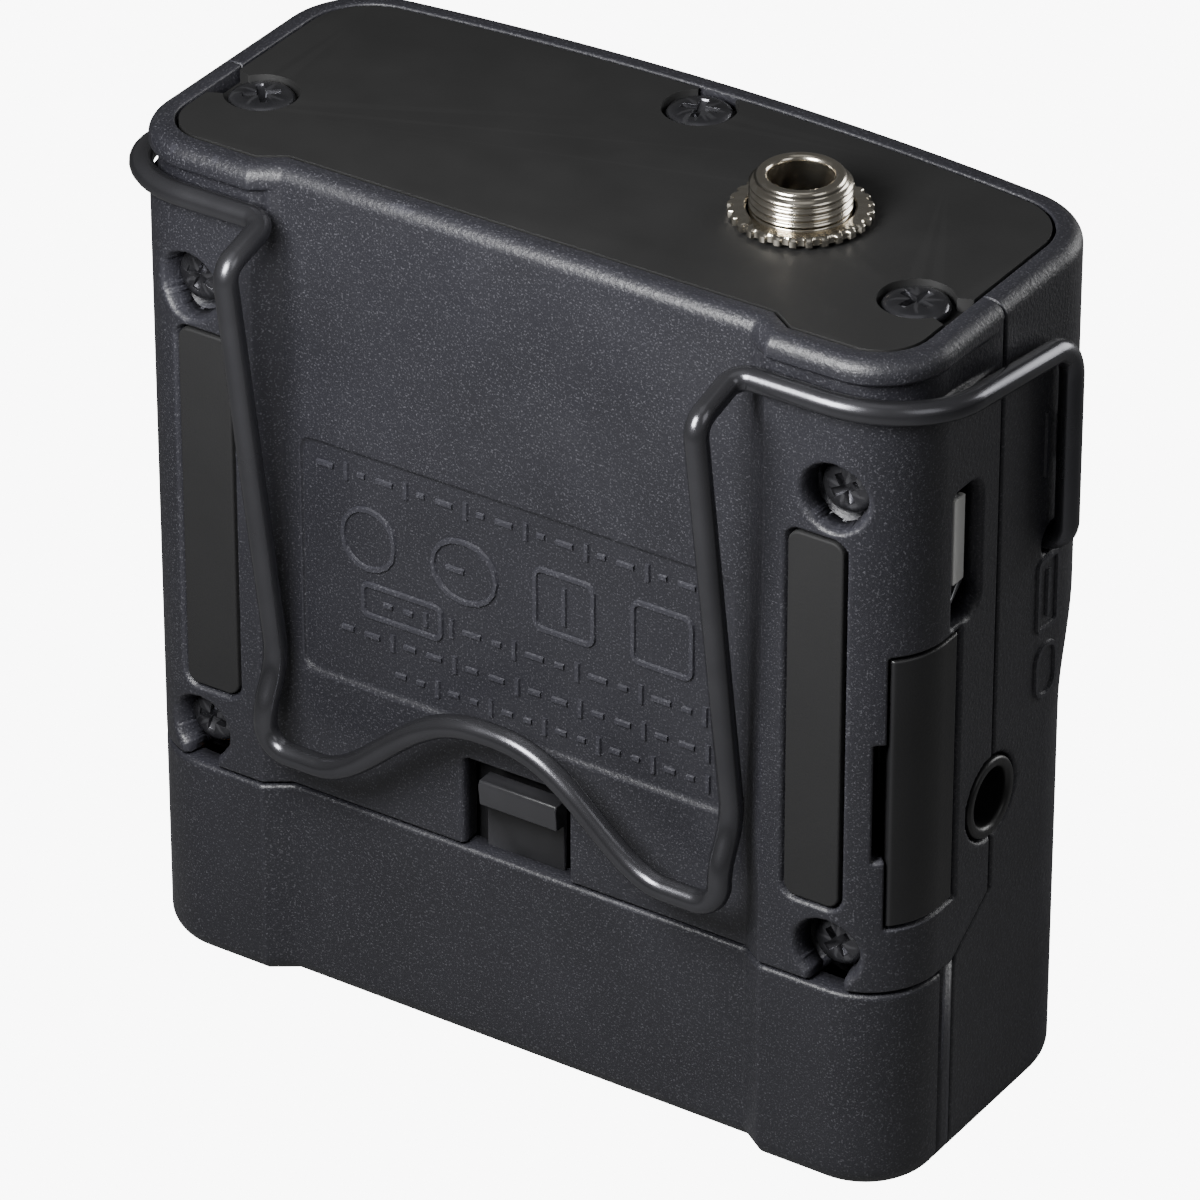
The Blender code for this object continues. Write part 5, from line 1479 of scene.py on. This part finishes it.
for piece, node in anchors:
    finish_piece(piece, "body", wire_coat, [node])
# The latch's finish holds painted shade under its lip and a painted highlight on its edges.
finish_piece(latch, "door_latch_part", acetal_shade_and_highlight, ["door_latch"])

# %% [markdown]
# ### Kept nodes
# The inner parts, the keys and the switches keep their engineering shape.

# %% Finish the engineering nodes that stay
KEPT = (
    (sleeve, "battery_cell"), (acrylic, "display_window"), (panel, "display_module"),
    (light_guide, "light_pipe"), (nickel, "battery_contact_plus battery_spring"),
    (board, "main_board front_board"),
    (chip, "processor_chip memory_chip converter_chip board_connector"),
    (steel, "card_socket door_hinge_pin tact_switch_1 tact_switch_2 tact_switch_3 tact_switch_4"),
    (smooth_abs, "battery_tray memory_card mic_jack_body record_switch power_switch"),
    (smooth_abs, " ".join(KEYS)))
for material, nodes in KEPT:
    for node in nodes.split():
        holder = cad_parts[node]
        if not holder.material_slots:
            holder.data.materials.append(material)
        for place_slot in holder.material_slots:
            place_slot.material = material

# %% [markdown]
# ## Studio
# A white floor that runs on behind, an even white sky and soft lamps: a small one close above
# the back, which draws a long highlight on the rim, and larger ones from the side, the top
# and the front.

# %% Floor, sky and lamps
FLOOR_Z = -4.0 * MM    # the open battery door hangs below the foot of the casing
FLOOR_HALF = 3
floor_mesh = bpy.data.meshes.new("floor")
floor_mesh.from_pydata([(x * FLOOR_HALF, y * FLOOR_HALF, FLOOR_Z)
                        for x, y in ((-1, -1), (1, -1), (1, 1), (-1, 1))], [], [(0, 1, 2, 3)])
floor = new_object("floor", floor_mesh)
floor_white, tree, shader, place = new_material("floor_white", {"Roughness": 0.9})
shader.inputs["Base Color"].default_value = linear("#707070")
glow = add_node(tree, "ShaderNodeEmission", {"Strength": 9.0})
seen = add_node(tree, "ShaderNodeLightPath").outputs["Is Camera Ray"]
blend = add_node(tree, "ShaderNodeMixShader", {},
                 {0: seen, 1: shader.outputs[0], 2: glow.outputs[0]})
tree.links.new(blend.outputs[0], tree.nodes["Material Output"].inputs["Surface"])
floor.data.materials.append(floor_white)

world = bpy.data.worlds.new("studio")
world.use_nodes = True
sky = world.node_tree.nodes["Background"]
sky.inputs["Color"].default_value = (1, 1, 1, 1)
sky.inputs["Strength"].default_value = 0.11
bpy.context.scene.world = world


def softbox(name, azimuth, elevation, distance, size, power):
    """A square soft lamp aimed at the object."""
    lamp = bpy.data.lights.new(name, "AREA")
    lamp.size = size * MM
    lamp.energy = power
    made = new_object(name, lamp)
    place = TARGET + direction(math.radians(azimuth), math.radians(elevation)) * distance
    aim(made, place, TARGET)
    made.visible_camera = False


# azimuth and elevation in degrees, distance and size in millimetres, power in watts
softbox("key", 180, 43, 110, 45, 0.28)
softbox("side", 262, 35, 450, 200, 0.18)
softbox("top", 215, 85, 300, 160, 0.03)
softbox("front", 335, 14, 300, 150, 0.45)
